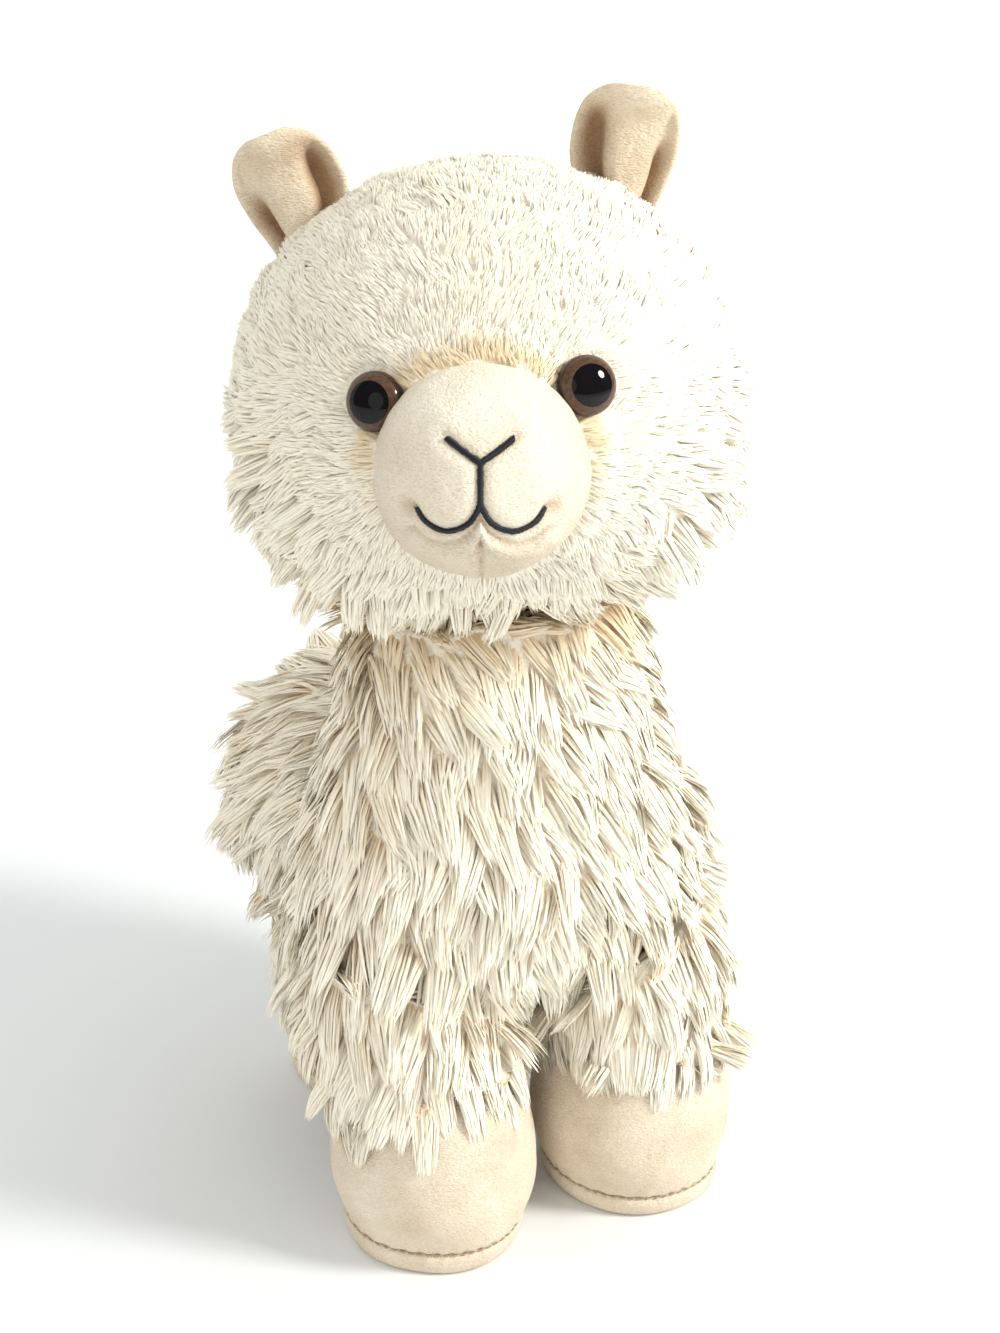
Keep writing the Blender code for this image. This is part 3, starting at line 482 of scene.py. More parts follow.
def make_skin(node, sink, neighbours):
    """The cloth under the pile: the solid's form, smoothed, and sunk by the pile's depth off its seams."""
    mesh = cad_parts[node].data.copy()
    if node.startswith("leg"):
        draw_in_tips(mesh)
    skin = placed(f"{node}_skin", mesh)
    remesh = skin.modifiers.new("remesh", "REMESH")
    remesh.mode = "VOXEL"
    remesh.voxel_size = SKIN_VOXEL
    ease = skin.modifiers.new("ease", "SMOOTH")
    ease.factor = 0.5
    ease.iterations = SKIN_EASING
    applied(skin)
    if node.startswith("leg"):
        drop_crumbs(skin)
    trees = [tree_of(neighbour) for neighbour in neighbours]
    places, normals = mesh_points(skin.data)
    gaps = np.array([min(tree.find_nearest(place)[3] for tree in trees) for place in places])
    places -= normals * (sink * smooth_step(SEAM_NEAR, SEAM_CLEAR, gaps))[:, None]
    if node == "head":
        for side in (1, -1):
            local = moved(places, eye_frame(side).inverted())
            wide = np.hypot(local[:, 0], local[:, 1])
            inside = smooth_step(EYE_RADIUS + SOCKET_REACH, EYE_RADIUS + SOCKET_EDGE, wide)
            over = np.clip(local[:, 2] + SOCKET_DROP, 0, None) * (np.abs(local[:, 2]) < EYE_SIDE)
            local[:, 2] -= over * inside
            places = moved(local, eye_frame(side))
    skin.data.vertices.foreach_set("co", places.reshape(-1))
    skin.data.update()
    skin.data.materials.clear()
    skin.data.materials.append(UNDERFUR)
    skin.data.shade_smooth()
    return skin


def skin_samples(skin, count, draw):
    """Random points of a skin, evenly over its area, and the normals there."""
    mesh = skin.data
    mesh.calc_loop_triangles()
    corners = np.zeros(len(mesh.loop_triangles) * 3, np.int32)
    mesh.loop_triangles.foreach_get("vertices", corners)
    corners = corners.reshape(-1, 3)
    places, normals = mesh_points(mesh)
    a, b, c = (places[corners[:, k]] for k in range(3))
    area = np.linalg.norm(np.cross(b - a, c - a), axis=1)
    chosen = draw.choice(len(area), size=count, p=area / area.sum())
    u, v = draw.random(count), draw.random(count)
    flip = u + v > 1
    u[flip], v[flip] = 1 - u[flip], 1 - v[flip]
    share = np.stack((1 - u - v, u, v), axis=1)[:, :, None]
    points = (places[corners[chosen]] * share).sum(axis=1)
    return points, unit((normals[corners[chosen]] * share).sum(axis=1))


def tree_of_points(points):
    tree = KDTree(len(points))
    for i, point in enumerate(points):
        tree.insert(point, i)
    tree.balance()
    return tree


def spaced(points, distance):
    """Keeps points that are at least that far apart."""
    tree = tree_of_points(points)
    free = np.ones(len(points), bool)
    kept = []
    for i, point in enumerate(points):
        if free[i]:
            kept.append(i)
            free[[found[1] for found in tree.find_range(point, distance)]] = False
    return np.array(kept)


def nearest(points, centres):
    """The number of the nearest centre for each point."""
    tree = tree_of_points(centres)
    return np.array([tree.find(point)[1] for point in points])


def strand_mesh(name, roots, bends, tips, widths, faces_to, steps, tones_and_shade, lightness, draw):
    """Narrow tapering strands along curves from roots to tips, shaded as if round across."""
    count, rows = len(roots), len(steps)
    softness = SOFT_LONG if rows > 2 else SOFT_SHORT
    per = rows * 2 + 1
    vertices = np.zeros((count, per, 3))
    normals = np.zeros((count, per, 3))
    data = np.zeros((count, per, 3), np.float32)
    offset = draw.random(count) * 40
    twist = draw.normal(size=count)[:, None] * STRAND_TWIST
    for r, t in enumerate(steps):
        middle = (1 - t) ** 2 * roots + 2 * t * (1 - t) * bends + t**2 * tips
        way = unit((1 - t) * (bends - roots) + t * (tips - bends))
        flat = unit(np.cross(way, faces_to))
        above = np.cross(flat, way)
        side = flat * np.cos(twist) + above * np.sin(twist)
        face = above * np.cos(twist) - flat * np.sin(twist)
        size = widths * (1 - STRAND_TAPER * t**2)
        place = lightness + (1 - lightness) * t
        for k, edge in enumerate((-1, 1)):
            vertices[:, 2 * r + k] = middle + side * (edge * size)[:, None]
            normals[:, 2 * r + k] = unit(face + faces_to * softness + side * edge * STRAND_ROUNDING)
            data[:, 2 * r + k] = np.stack((place, tones_and_shade, offset + k), axis=1)
    vertices[:, -1] = tips
    normals[:, -1] = unit(face + faces_to * softness)
    data[:, -1] = np.stack((np.ones(count), tones_and_shade, offset + 0.5), axis=1)

    quads = np.array([(2 * r, 2 * r + 1, 2 * r + 3, 2 * r + 2) for r in range(rows - 1)])
    end = np.array((per - 3, per - 2, per - 1))
    base = (np.arange(count) * per)[:, None]
    quad_loops = (base[:, None] + quads[None]).reshape(-1)
    loops = np.concatenate((quad_loops, (base + end[None]).reshape(-1))).astype(np.int32)
    sizes = np.concatenate((np.full(count * len(quads), 4), np.full(count, 3)))
    starts = np.concatenate(((0,), np.cumsum(sizes)[:-1])).astype(np.int32)

    mesh = bpy.data.meshes.new(name)
    mesh.vertices.add(count * per)
    mesh.vertices.foreach_set("co", vertices.reshape(-1))
    mesh.loops.add(len(loops))
    mesh.loops.foreach_set("vertex_index", loops)
    mesh.polygons.add(len(sizes))
    mesh.polygons.foreach_set("loop_start", starts)
    tuft = mesh.attributes.new("tuft", "FLOAT_VECTOR", "POINT")
    tuft.data.foreach_set("vector", data.reshape(-1))
    mesh.update(calc_edges=True)
    mesh.shade_smooth()
    mesh.normals_split_custom_set_from_vertices(normals.reshape(-1, 3).tolist())
    mesh.materials.append(FUR)
    return placed(name, mesh)


def shade_of(node, points):
    """Where the pile is deep in shade, 0 to 1: round the muzzle, and where the head meets the neck."""
    if node not in ("head", "body"):
        return np.zeros(len(points))
    tree = tree_of("body" if node == "head" else "head")
    gaps = np.array([tree.find_nearest(point)[3] for point in points])
    if node == "body":
        return 0.75 * smooth_step(0.028, 0.004, gaps)
    at_muzzle = moved(points, muzzle_frame.inverted())
    past = np.linalg.norm(at_muzzle / MUZZLE_RADII, axis=1) - 1
    upper = smooth_step(-0.01, 0.01, at_muzzle[:, 2])
    shade = 0.85 * smooth_step(0.22, 0.03, past) * (0.35 + 0.65 * upper)
    return np.maximum(shade, 0.70 * smooth_step(0.026, 0.004, gaps))


def grow(name, node, skin, count, seed, spacing, pile, hidden_by, keep, steps):
    """Strands in locks over a skin. pile gives their length, width, lift, flow, gather and lightness."""
    draw = np.random.default_rng(seed)
    points, normals = skin_samples(skin, int(count * SPARE_SHARE), draw)
    chosen = draw.random(len(points)) < keep(points, normals)
    points, normals = points[chosen], normals[chosen]
    shown = np.ones(len(points), bool)
    for other in hidden_by:
        shown &= depth_in(tree_of(other), points + normals * COVER_RISE) < COVER_DEPTH
    points, normals = points[shown][:count], normals[shown][:count]

    centres = spaced(points, spacing)
    lock = nearest(points, points[centres])
    length, width, lift, flow, gather, lightness = pile(points, normals)
    middle, up = points[centres], normals[centres]
    turn = wobble(middle, 0.034, seed + 1) * 0.30 + draw.normal(size=len(centres)) * 0.22
    lock_flow = unit(flow[centres] - (flow[centres] * up).sum(axis=1, keepdims=True) * up)
    across = np.cross(up, lock_flow)
    lock_flow = lock_flow * np.cos(turn)[:, None] + across * np.sin(turn)[:, None]
    lock_length = length[centres] * draw.uniform(0.70, 1.22, len(centres))
    lock_lift = lift[centres] * draw.uniform(0.45, 1.60, len(centres))
    rise = np.sin(lock_lift)[:, None] * up
    lock_tip = middle + (lock_flow * np.cos(lock_lift)[:, None] + rise) * lock_length[:, None]

    own_flow = lock_flow[lock]
    own_flow = unit(own_flow - (own_flow * normals).sum(axis=1, keepdims=True) * normals)
    own_length = lock_length[lock] * draw.uniform(0.78, 1.05, len(points))
    own_lift = lock_lift[lock]
    own_way = own_flow * np.cos(own_lift)[:, None] + np.sin(own_lift)[:, None] * normals
    own_tip = points + own_way * own_length[:, None]
    pull = np.clip(gather * draw.uniform(0.8, 1.1, len(points)), 0, 0.95)[:, None]
    brush_tip = lock_tip[lock] + (points - middle[lock]) * BRUSH_SPREAD
    goal = points + (brush_tip - points) * (own_length / lock_length[lock])[:, None]
    tips = own_tip * (1 - pull) + goal * pull
    tips += draw.normal(size=tips.shape) * (length * STRAND_SCATTER)[:, None]
    tips[:, 2] -= own_length * STRAND_DROOP
    bends = points + (tips - points) * BEND_AT + normals * (own_length * BEND_RISE)[:, None]
    tones_and_shade = TONE + TONE_PATCHES * wobble(points, 0.05, seed + 2) + draw.normal(size=len(points)) * TONE_SPREAD
    # Painted shade: the tone is lowered round the muzzle and where the head meets the neck.
    tones_and_shade = np.clip(tones_and_shade, 0, 1) * (1 - shade_of(node, points))
    sizes = width * draw.uniform(0.75, 1.25, len(points))
    roots = points - normals * STRAND_ROOTING
    return strand_mesh(name, roots, bends, tips, sizes, normals, steps, tones_and_shade, lightness, draw)


def head_local(points):
    return moved(points, head_frame.inverted())


def head_zones(points):
    """How far each point lies from the face's axis, and how long its pile is, 0 to 1."""
    way = unit(head_local(points) / HEAD_RADII)
    polar = np.arccos(np.clip(-way[:, 1], -1, 1))
    low = smooth_step(0.30, -0.30, way[:, 2])
    behind = smooth_step(math.radians(100), math.radians(135), polar)
    off_face = smooth_step(math.radians(28), math.radians(62), polar)
    return polar, np.maximum(low, behind * 0.8) * off_face, way


def head_pile(points, normals):
    polar, long_share, way = head_zones(points)
    length = 0.0056 + 0.0110 * long_share
    width = 0.00033 + 0.00012 * long_share
    lift = np.radians(20 + 2 * long_share)
    radial = np.stack((way[:, 0], np.zeros(len(way)), way[:, 2] + 0.05), axis=1)
    back = np.zeros_like(radial)
    back[:, 1] = 0.25 + 0.6 * smooth_step(math.radians(75), math.radians(100), polar)
    flow = moved(radial + back, head_frame, True)
    flow[:, 2] -= 0.45 * long_share
    gather = 0.10 + 0.76 * long_share
    return length, width, lift, flow, gather, 0.82 - 0.62 * long_share


FUR_PARTING = np.array((-0.030, -0.045, 0.225)) + np.array(SHIFT)
BODY_STRAND = 0.00048
BODY_LENGTH = 0.0205
LEG_STRAND = 0.00046
LEG_LENGTHS = (0.0100, 0.0190)
TAIL_LENGTH = 0.015
FRONT_LEGS = ("leg_front_left", "leg_front_right")
HIND_LEGS = ("leg_hind_left", "leg_hind_right")


def body_pile(points, normals):
    """Fans out from a parting at the neck, and stands off where it has to hang over the sleeves."""
    low, high = (np.array(corner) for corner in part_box("body"))
    rise = (points[:, 2] - low[2]) / (high[2] - low[2])
    legs = [tree_of(leg) for leg in FRONT_LEGS]
    gaps = np.array([min(tree.find_nearest(point)[3] for tree in legs) for point in points])
    over_leg = smooth_step(0.018, 0.004, gaps)
    length = BODY_LENGTH - 0.0050 * smooth_step(0.55, 0.95, rise) + 0.0030 * over_leg
    lift = np.radians(15 + 26 * over_leg)
    flow = unit(points - FUR_PARTING) * 0.9
    flow[:, 2] -= 0.85 + 1.6 * smooth_step(0.88, 0.96, rise)
    flow[:, 1] += 0.25 * smooth_step(-0.03, 0.03, points[:, 1])
    count = len(points)
    return length, np.full(count, BODY_STRAND), lift, flow, np.full(count, 0.90), np.zeros(count)


def leg_pile(leg):
    """Hangs straight down, and no lower than the fringe of the leg's solid."""
    fringe = mesh_points(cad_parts[leg].data)[0][:, 2].min()

    def pile(points, normals):
        count = len(points)
        flow = np.zeros_like(points)
        flow[:, :2] = normals[:, :2] * 0.1
        flow[:, 2] = -1.0
        rise = points[:, 2] - fringe
        length = np.clip(rise + 0.0020, *LEG_LENGTHS)
        lift = np.radians(16 + 10 * smooth_step(0.016, 0.006, rise))
        return length, np.full(count, LEG_STRAND), lift, flow, np.full(count, 0.86), np.zeros(count)

    return pile


def tail_pile(points, normals):
    count = len(points)
    flow = np.zeros_like(points)
    flow[:, 1] = 0.6
    flow[:, 2] = -0.8
    length, lift = np.full(count, TAIL_LENGTH), np.full(count, math.radians(20))
    return length, np.full(count, BODY_STRAND), lift, flow, np.full(count, 0.80), np.full(count, 0.1)


def clear_of_face(points):
    """True where a tuft of the head may root: off the eyes and off the muzzle's seat."""
    free = np.ones(len(points), bool)
    for side in (1, -1):
        local = moved(points, eye_frame(side).inverted())
        free &= (np.hypot(local[:, 0], local[:, 1]) > EYE_RADIUS + 0.0005) | (local[:, 2] < -EYE_SIDE)
    inside = moved(points, muzzle_frame.inverted()) / (MUZZLE_RADII - 0.001)
    return free & (np.linalg.norm(inside, axis=1) > 1)


def keep_short(points, normals):
    return clear_of_face(points) * (1 - smooth_step(0.10, 0.45, head_zones(points)[1]))


def keep_long(points, normals):
    return clear_of_face(points) * smooth_step(0.05, 0.40, head_zones(points)[1])


def keep_body(points, normals):
    return 1 - 0.6 * smooth_step(-0.6, -0.9, normals[:, 2])


def keep_leg(points, normals):
    """Most tufts root near the hem, and none on its underside."""
    floor = points[:, 2].min()
    near_hem = smooth_step(0.022, 0.010, points[:, 2] - floor)
    return (0.55 + 0.45 * near_hem) * (normals[:, 2] > -0.70)


def keep_all(points, normals):
    return np.ones(len(points))


LONG_STEPS = (0.0, 0.36, 0.76)
SHORT_STEPS = (0.0, 0.62)
SKINS = (
    ("head", 0.0026, ("body", "muzzle"), 0.95),
    ("body", 0.0048, ("head", *FRONT_LEGS, *HIND_LEGS), 0.9),
    *((leg, 0.0036, ("body",), 0.85) for leg in FRONT_LEGS + HIND_LEGS),
    ("tail", 0.0030, ("body",), 0.8),
)
LEG_TUFTS = ((FRONT_LEGS, 14000, 300), (HIND_LEGS, 8500, 500))
PILES = (
    ("forehead_pile", "head", 46000, 101, 0.0040, head_pile, ("body",), keep_short, SHORT_STEPS),
    ("cheek_pile", "head", 32000, 151, 0.0058, head_pile, ("body",), keep_long, LONG_STEPS),
    ("body_pile", "body", 38500, 202, 0.0066, body_pile, ("head",), keep_body, LONG_STEPS),
    ("tail_pile", "tail", 2400, 707, 0.0060, tail_pile, ("body",), keep_all, LONG_STEPS),
    *(
        (f"{leg}_pile", leg, count, seed + i, 0.0062, leg_pile(leg), ("body",), keep_leg, LONG_STEPS)
        for legs, count, seed in LEG_TUFTS
        for i, leg in enumerate(legs)
    ),
)
skins = {}
for node, sink, neighbours, fill in SKINS:
    skins[node] = make_skin(node, sink, neighbours)
    finish_piece(skins[node], (node,))
for name, node, count, seed, spacing, pile, hidden_by, keep, steps in PILES:
    tufts = grow(name, node, skins[node], count, seed, spacing, pile, hidden_by, keep, steps)
    finish_piece(tufts)


# Eyes

RIM_SHARE = 0.93
SHANK_RADIUS = 0.0024
SHANK_END = -0.0130
PUPIL_EDGE = (PUPIL_SHARE - 0.03, PUPIL_SHARE)
DOME_SHARES = (0.12, 0.28, 0.44, 0.56, *PUPIL_EDGE, 0.76, 0.83, 0.90, 0.945, 0.975, 0.993, 1.0)


def build_eye(side, label):
    """A domed safety eye on its shank, coloured by how far each face lies from its axis."""
    columns = 72
    profile = [(EYE_RADIUS * s, EYE_RIM + EYE_DOME * math.sqrt(max(0.0, 1 - s * s))) for s in DOME_SHARES]
    profile += [(EYE_RADIUS, 0.0), (SHANK_RADIUS, 0.0), (SHANK_RADIUS, SHANK_END)]
    turn = np.arange(columns) * math.tau / columns
    place = eye_frame(side)
    rings = []
    for radius, height in profile:
        ring = np.stack((radius * np.cos(turn), radius * np.sin(turn), np.full(columns, height)), axis=1)
        rings.append(moved(ring, place))
    ends = moved(np.array(((0, 0, EYE_RIM + EYE_DOME), (0, 0, SHANK_END))), place)
    eye = tube(f"eye_{label}_dome", ends[0], rings, ends[1], (PUPIL, IRIS, RIM))
    inverse = place.inverted()
    for face in eye.data.polygons:
        local = inverse @ face.center
        share = math.hypot(local.x, local.y) / EYE_RADIUS
        above = local.z > EYE_RIM
        face.material_index = 0 if share < PUPIL_SHARE and above else 1 if share < RIM_SHARE and above else 2
    return finish_piece(eye, (f"eye_{label}",))


for side, label in ((1, "left"), (-1, "right")):
    build_eye(side, label)
    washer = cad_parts[f"eye_washer_{label}"]
    washer.data.materials.clear()
    washer.data.materials.append(WASHER)


# Embroidery, in metres across and above the middle of the muzzle

NOSE_TIP = np.array((0.0, 0.0117))
MOUTH_FORK = np.array((0.0, 0.0008))
WING_END = np.array((0.0092, 0.0173))
SMILE = ((0.0023, -0.0036), (0.0057, -0.0064), (0.0099, -0.0075), (0.0145, -0.0059), (0.0179, -0.0021))
CHIN_PUCKER = -0.0112
STITCH_WIDTH = 0.0018
STITCH_PITCH = 0.00036
STITCH_AHEAD = 0.0006
STITCH_SLANT = 0.35
STITCH_LIFT = 0.00005
STITCH_RISE = 0.00075
THREAD_RADIUS = 0.00023


def smoothed(points, steps=8):
    """A curve through points, with some steps between each pair."""
    points = [np.array(p, float) for p in points]
    points = [2 * points[0] - points[1]] + points + [2 * points[-1] - points[-2]]
    out = []
    for a, b, c, d in zip(points, points[1:], points[2:], points[3:]):
        for i in range(steps):
            t = i / steps
            squared, cubed = 2 * a - 5 * b + 4 * c - d, 3 * b - a - 3 * c + d
            out.append(0.5 * (2 * b + (c - a) * t + squared * t**2 + cubed * t**3))
    return np.array(out + [points[-2]])


def thread_runs():
    """The wings of the nose, the halves of the smile and the stem between them."""
    runs = []
    for side in (-1, 1):
        mirror = np.array((side, 1.0))
        runs.append(smoothed([NOSE_TIP, WING_END * mirror], 16))
        runs.append(smoothed([MOUTH_FORK] + [np.array(p) * mirror for p in SMILE]))
    runs.append(smoothed([NOSE_TIP, MOUTH_FORK], 16))
    return runs


THREAD_RUNS = thread_runs()


def thread_distance(across, up):
    """How far points of the front lie from the nearest run of stitches."""
    best = np.full(across.shape, 1.0)
    for run in THREAD_RUNS:
        for start, end in zip(run, run[1:]):
            way = end - start
            share = ((across - start[0]) * way[0] + (up - start[1]) * way[1]) / way.dot(way)
            share = np.clip(share, 0, 1)
            gap = np.hypot(across - start[0] - share * way[0], up - start[1] - share * way[1])
            best = np.minimum(best, gap)
    return best


# Muzzle


def muzzle_relief(across, up):
    """How far the front stands out of the ball, and how much painted shade its stitches, creases, chin seam,
    corners and puckers get, 0 to 1.
    """
    gap = thread_distance(across, up)
    wide = np.abs(across)
    mouth = np.interp(wide, [0.0] + [p[0] for p in SMILE], [MOUTH_FORK[1]] + [p[1] for p in SMILE])
    under = mouth - up
    within = smooth_step(0.0230, 0.0185, wide)
    below = smooth_step(-0.0070, -0.0100, up)
    stitched = np.exp(-((gap / 0.0016) ** 2))
    beside = np.exp(-(((gap - 0.0045) / 0.0022) ** 2))
    crease = np.exp(-(((under - 0.0036 - 8.0 * across**2) / 0.0012) ** 2)) * within
    lip = np.exp(-(((under - 0.0078 - 6.0 * across**2) / 0.0032) ** 2)) * within
    cheek = np.exp(-(((wide - 0.0110) / 0.0060) ** 2) - ((up - 0.0010) / 0.0055) ** 2)
    chin = np.exp(-((across / 0.0006) ** 2)) * below
    reach = np.hypot(across, up - CHIN_PUCKER)
    puckers = np.sin(17 * np.arctan2(up - CHIN_PUCKER, across) + 900 * reach)
    puckers = puckers * np.exp(-(((reach - 0.0035) / 0.0030) ** 2)) * smooth_step(-0.0050, -0.0080, up)
    corner = np.exp(-(((wide - 0.0200) / 0.0026) ** 2) - ((up + 0.0022) / 0.0034) ** 2)
    dimple = np.exp(-((reach / 0.0012) ** 2))
    height = 0.00030 * beside + 0.0010 * lip + 0.0007 * cheek + 0.00030 * puckers
    height -= 0.00075 * stitched + 0.0010 * crease + 0.0008 * chin + 0.0012 * corner + 0.0010 * dimple
    # Painted shade in the stitches' dents, the lip crease, the chin seam, the mouth corners, the dimple and
    # the pucker valleys.
    painted_shade = 0.40 * stitched + 0.50 * crease + 0.40 * chin + 0.45 * corner + 0.30 * dimple
    painted_shade = painted_shade + 0.25 * np.maximum(0, -puckers)
    return height, np.clip(painted_shade, 0, 1)


CHIN_SHADE = 0.34
CHEEK_SHADE = 0.20


def muzzle_surface(turn, polar, lift=0.0):
    """Points of the muzzle, a stuffed ball pulled in at its stitches, and the painted shade of each point: in
    its creases, under it and at its sides.
    """
    out = np.sin(polar)
    way = np.stack((out * np.cos(turn), -np.cos(polar), out * np.sin(turn)), axis=-1)
    below = smooth_step(-0.35, -0.75, way[..., 2])
    points = way * MUZZLE_RADII * (1 - 0.04 * below)[..., None]
    front = smooth_step(0.1, 0.5, -way[..., 1])
    height, painted_shade = muzzle_relief(points[..., 0], points[..., 2])
    uneven = 0.00035 * wobble(points, 0.022, 5) + 0.00012 * wobble(points, 0.006, 6)
    # Painted shade: darker underneath and towards the sides.
    shade = CHIN_SHADE * smooth_step(0.10, -0.85, way[..., 2])
    shade = shade + CHEEK_SHADE * smooth_step(0.45, 1.0, np.abs(way[..., 0]))
    painted_shade = np.clip(np.maximum(painted_shade * front, shade), 0, 1)
    return points + way * (height * front + uneven + lift)[..., None], painted_shade


def build_muzzle(shell):
    columns, count = 156, 104
    turn = np.arange(columns) * math.tau / columns
    rings, painted_shades = [], [0.0]
    for i in range(1, count):
        ring, painted_shade = muzzle_surface(turn, np.full(columns, math.pi * i / count))
        rings.append(moved(ring, muzzle_frame))
        painted_shades += list(painted_shade)
    poles = moved(muzzle_surface(np.zeros(2), np.array((0.0, math.pi)))[0], muzzle_frame)
    muzzle = tube("muzzle_skin", poles[0], rings, poles[1], (FACE,))
    set_painted_shade(muzzle, painted_shades + [0.0])
    trim(muzzle, shell)
    return finish_piece(muzzle, ("muzzle",))


def thread_faces(base, sides, spans):
    """The faces of one thread, from ring to ring and at its two ends."""
    faces = []
    for s in range(spans):
        a = base + s * sides
        for k in range(sides):
            m = (k + 1) % sides
            faces.append((a + k, a + m, a + sides + m, a + sides + k))
    faces.append(tuple(base + k for k in reversed(range(sides))))
    faces.append(tuple(base + spans * sides + k for k in range(sides)))
    return faces


def build_stitches():
    """Satin stitches side by side across each run, each one a small round thread."""
    vertices, faces = [], []
    draw = np.random.default_rng(9)
    sides, spans = 6, 5

    def front_point(across, up, lift):
        flat = 1 - (across / MUZZLE_RADII[0]) ** 2 - (up / MUZZLE_RADII[2]) ** 2
        way = np.array((across / MUZZLE_RADII[0], -math.sqrt(flat), up / MUZZLE_RADII[2]))
        polar, turn = math.acos(-way[1]), math.atan2(way[2], way[0])
        return muzzle_surface(np.array((turn,)), np.array((polar,)), lift)[0][0]

    for run in THREAD_RUNS:
        steps = np.linalg.norm(np.diff(run, axis=0), axis=1)
        travel = np.concatenate(((0,), np.cumsum(steps)))
        for place in np.arange(0.0, travel[-1], STITCH_PITCH):
            middle = np.array([np.interp(place, travel, run[:, k]) for k in range(2)])
            ahead = np.array([np.interp(place + STITCH_AHEAD, travel, run[:, k]) for k in range(2)])
            behind = np.array([np.interp(place - STITCH_AHEAD, travel, run[:, k]) for k in range(2)])
            way = (ahead - behind) / np.linalg.norm(ahead - behind)
            side = np.array((-way[1], way[0])) + way * STITCH_SLANT
            half = STITCH_WIDTH / 2 * draw.uniform(0.88, 1.14)
            base = len(vertices)
            for s in range(spans + 1):
                t = -1 + 2 * s / spans
                spot = middle + side * half * t
                centre = front_point(spot[0], spot[1], STITCH_LIFT + STITCH_RISE * (1 - t * t) ** 0.5)
                radius = THREAD_RADIUS * (0.35 + 0.65 * (1 - t**4))
                for k in range(sides):
                    turn = math.tau * k / sides
                    out = np.array((way[0] * math.cos(turn), -math.sin(turn), way[1] * math.cos(turn)))
                    vertices.append(centre + radius * out)
            faces += thread_faces(base, sides, spans)
    stitches = add_mesh_object("satin_stitches", moved(np.array(vertices), muzzle_frame), faces, (THREAD,))
    return finish_piece(outward(stitches), ("nose_mouth_stitching",))


# Ears

EAR_LENGTH = 0.0440
EAR_HALF_WIDTH = 0.0195
EAR_BASE_HALF_WIDTH = 0.0105
EAR_PLACE = Vector((0.0440, 0.0040, 0.0410))
EARS_ROLL = math.radians(3)
EAR_SPLAY = math.radians(14)
EAR_CUP = (math.radians(82), math.radians(46 - 82))
EAR_THICKNESS = 0.0046
EAR_BOW = 0.0040
RIM_ROLL = 0.0040
INNER_PLEAT = 0.0070
OUTER_PLEAT = 0.0050


def ear_surface(across, along, lift, side):
    """Across -1 to 1 from the crown outward, along 0 to 1 from base to tip, lift -1 behind to 1 in front."""
    crown = (1 - 0.93 * np.maximum(0.0, (along - 0.35) / 0.65) ** 2.8) ** (1 / 2.2)
    widening = (EAR_HALF_WIDTH - EAR_BASE_HALF_WIDTH) * smooth_step(0.0, 0.5, along)
    half_width = (EAR_BASE_HALF_WIDTH + widening) * crown
    fold = EAR_CUP[0] + EAR_CUP[1] * smooth_step(0.0, 0.9, along)
    radius = EAR_HALF_WIDTH / fold
    bend = across * half_width / radius
    thickness = (EAR_THICKNESS - 0.0018 * across**2) * (1 - 0.45 * along**4)
    rounding = np.sqrt(np.maximum(0.0, 1 - np.abs(across) ** 6))
    back = EAR_BOW * np.sin(math.pi * along)
    inner = np.exp(-(((across + 0.40 + 0.25 * along) / (0.16 + 0.10 * along)) ** 2))
    outer = np.exp(-(((across - 0.58) / 0.13) ** 2))
    inner = inner * smooth_step(0.93, 0.60, along)
    outer = outer * smooth_step(0.72, 0.40, along)
    rolled = smooth_step(0.60, 0.95, np.abs(across)) * smooth_step(1.0, 0.75, along)
    rolled = np.maximum(rolled, smooth_step(0.70, 0.96, along))
    front = (1 + lift) / 2
    pleats = (INNER_PLEAT * inner + OUTER_PLEAT * outer) * (0.74 + 0.26 * front)
    reach = radius + lift * thickness / 2 * rounding - pleats
    depth = radius - reach * np.cos(bend) + back - RIM_ROLL * rolled
    points = np.stack((side * reach * np.sin(bend), depth, EAR_LENGTH * along), axis=-1)
    # Painted shade: the front face is darker in its pleats.
    painted_shade = np.clip(1.70 * inner**0.9 + 1.40 * outer**0.9, 0, 1) * front
    return points, painted_shade


def build_ear(side, label, shell):
    columns, count = 96, 60
    rows = np.sin(math.pi / 2 * np.linspace(0, 1, count))
    rings, painted_shades = [], [0.0]
    for along in rows:
        front = np.linspace(-1, 1, columns // 2 + 1)
        across = np.concatenate((front, front[-2:0:-1]))
        lift = np.concatenate((np.ones(len(front)), -np.ones(len(front) - 2)))
        ring, painted_shade = ear_surface(across, np.full(len(across), along), lift, side)
        uneven = 0.0002 * wobble(ring, 0.012, 40 + side)
        rings.append(ring + unit(ring - ring.mean(axis=0)) * uneven[:, None])
        painted_shades += list(painted_shade)
    place = head_frame @ Matrix.Rotation(-EARS_ROLL, 4, "Y")
    place = place @ Matrix.Translation((side * EAR_PLACE.x, EAR_PLACE.y, EAR_PLACE.z))
    place = place @ Matrix.Rotation(side * EAR_SPLAY, 4, "Y")
    ends = [moved(ring.mean(axis=0), place) for ring in (rings[0], rings[-1])]
    ear = tube(f"ear_{label}_pad", ends[0], [moved(ring, place) for ring in rings], ends[1], (EAR,))
    set_painted_shade(ear, painted_shades + [0.0])
    trim(ear, shell)
    return finish_piece(ear, (f"ear_{label}",))


face_shell = head_shell("face_shell", 0.0022)
build_muzzle(face_shell)
build_stitches()
for side, label in ((1, "left"), (-1, "right")):
    build_ear(side, label, face_shell)
bpy.data.objects.remove(face_shell)


# Boots

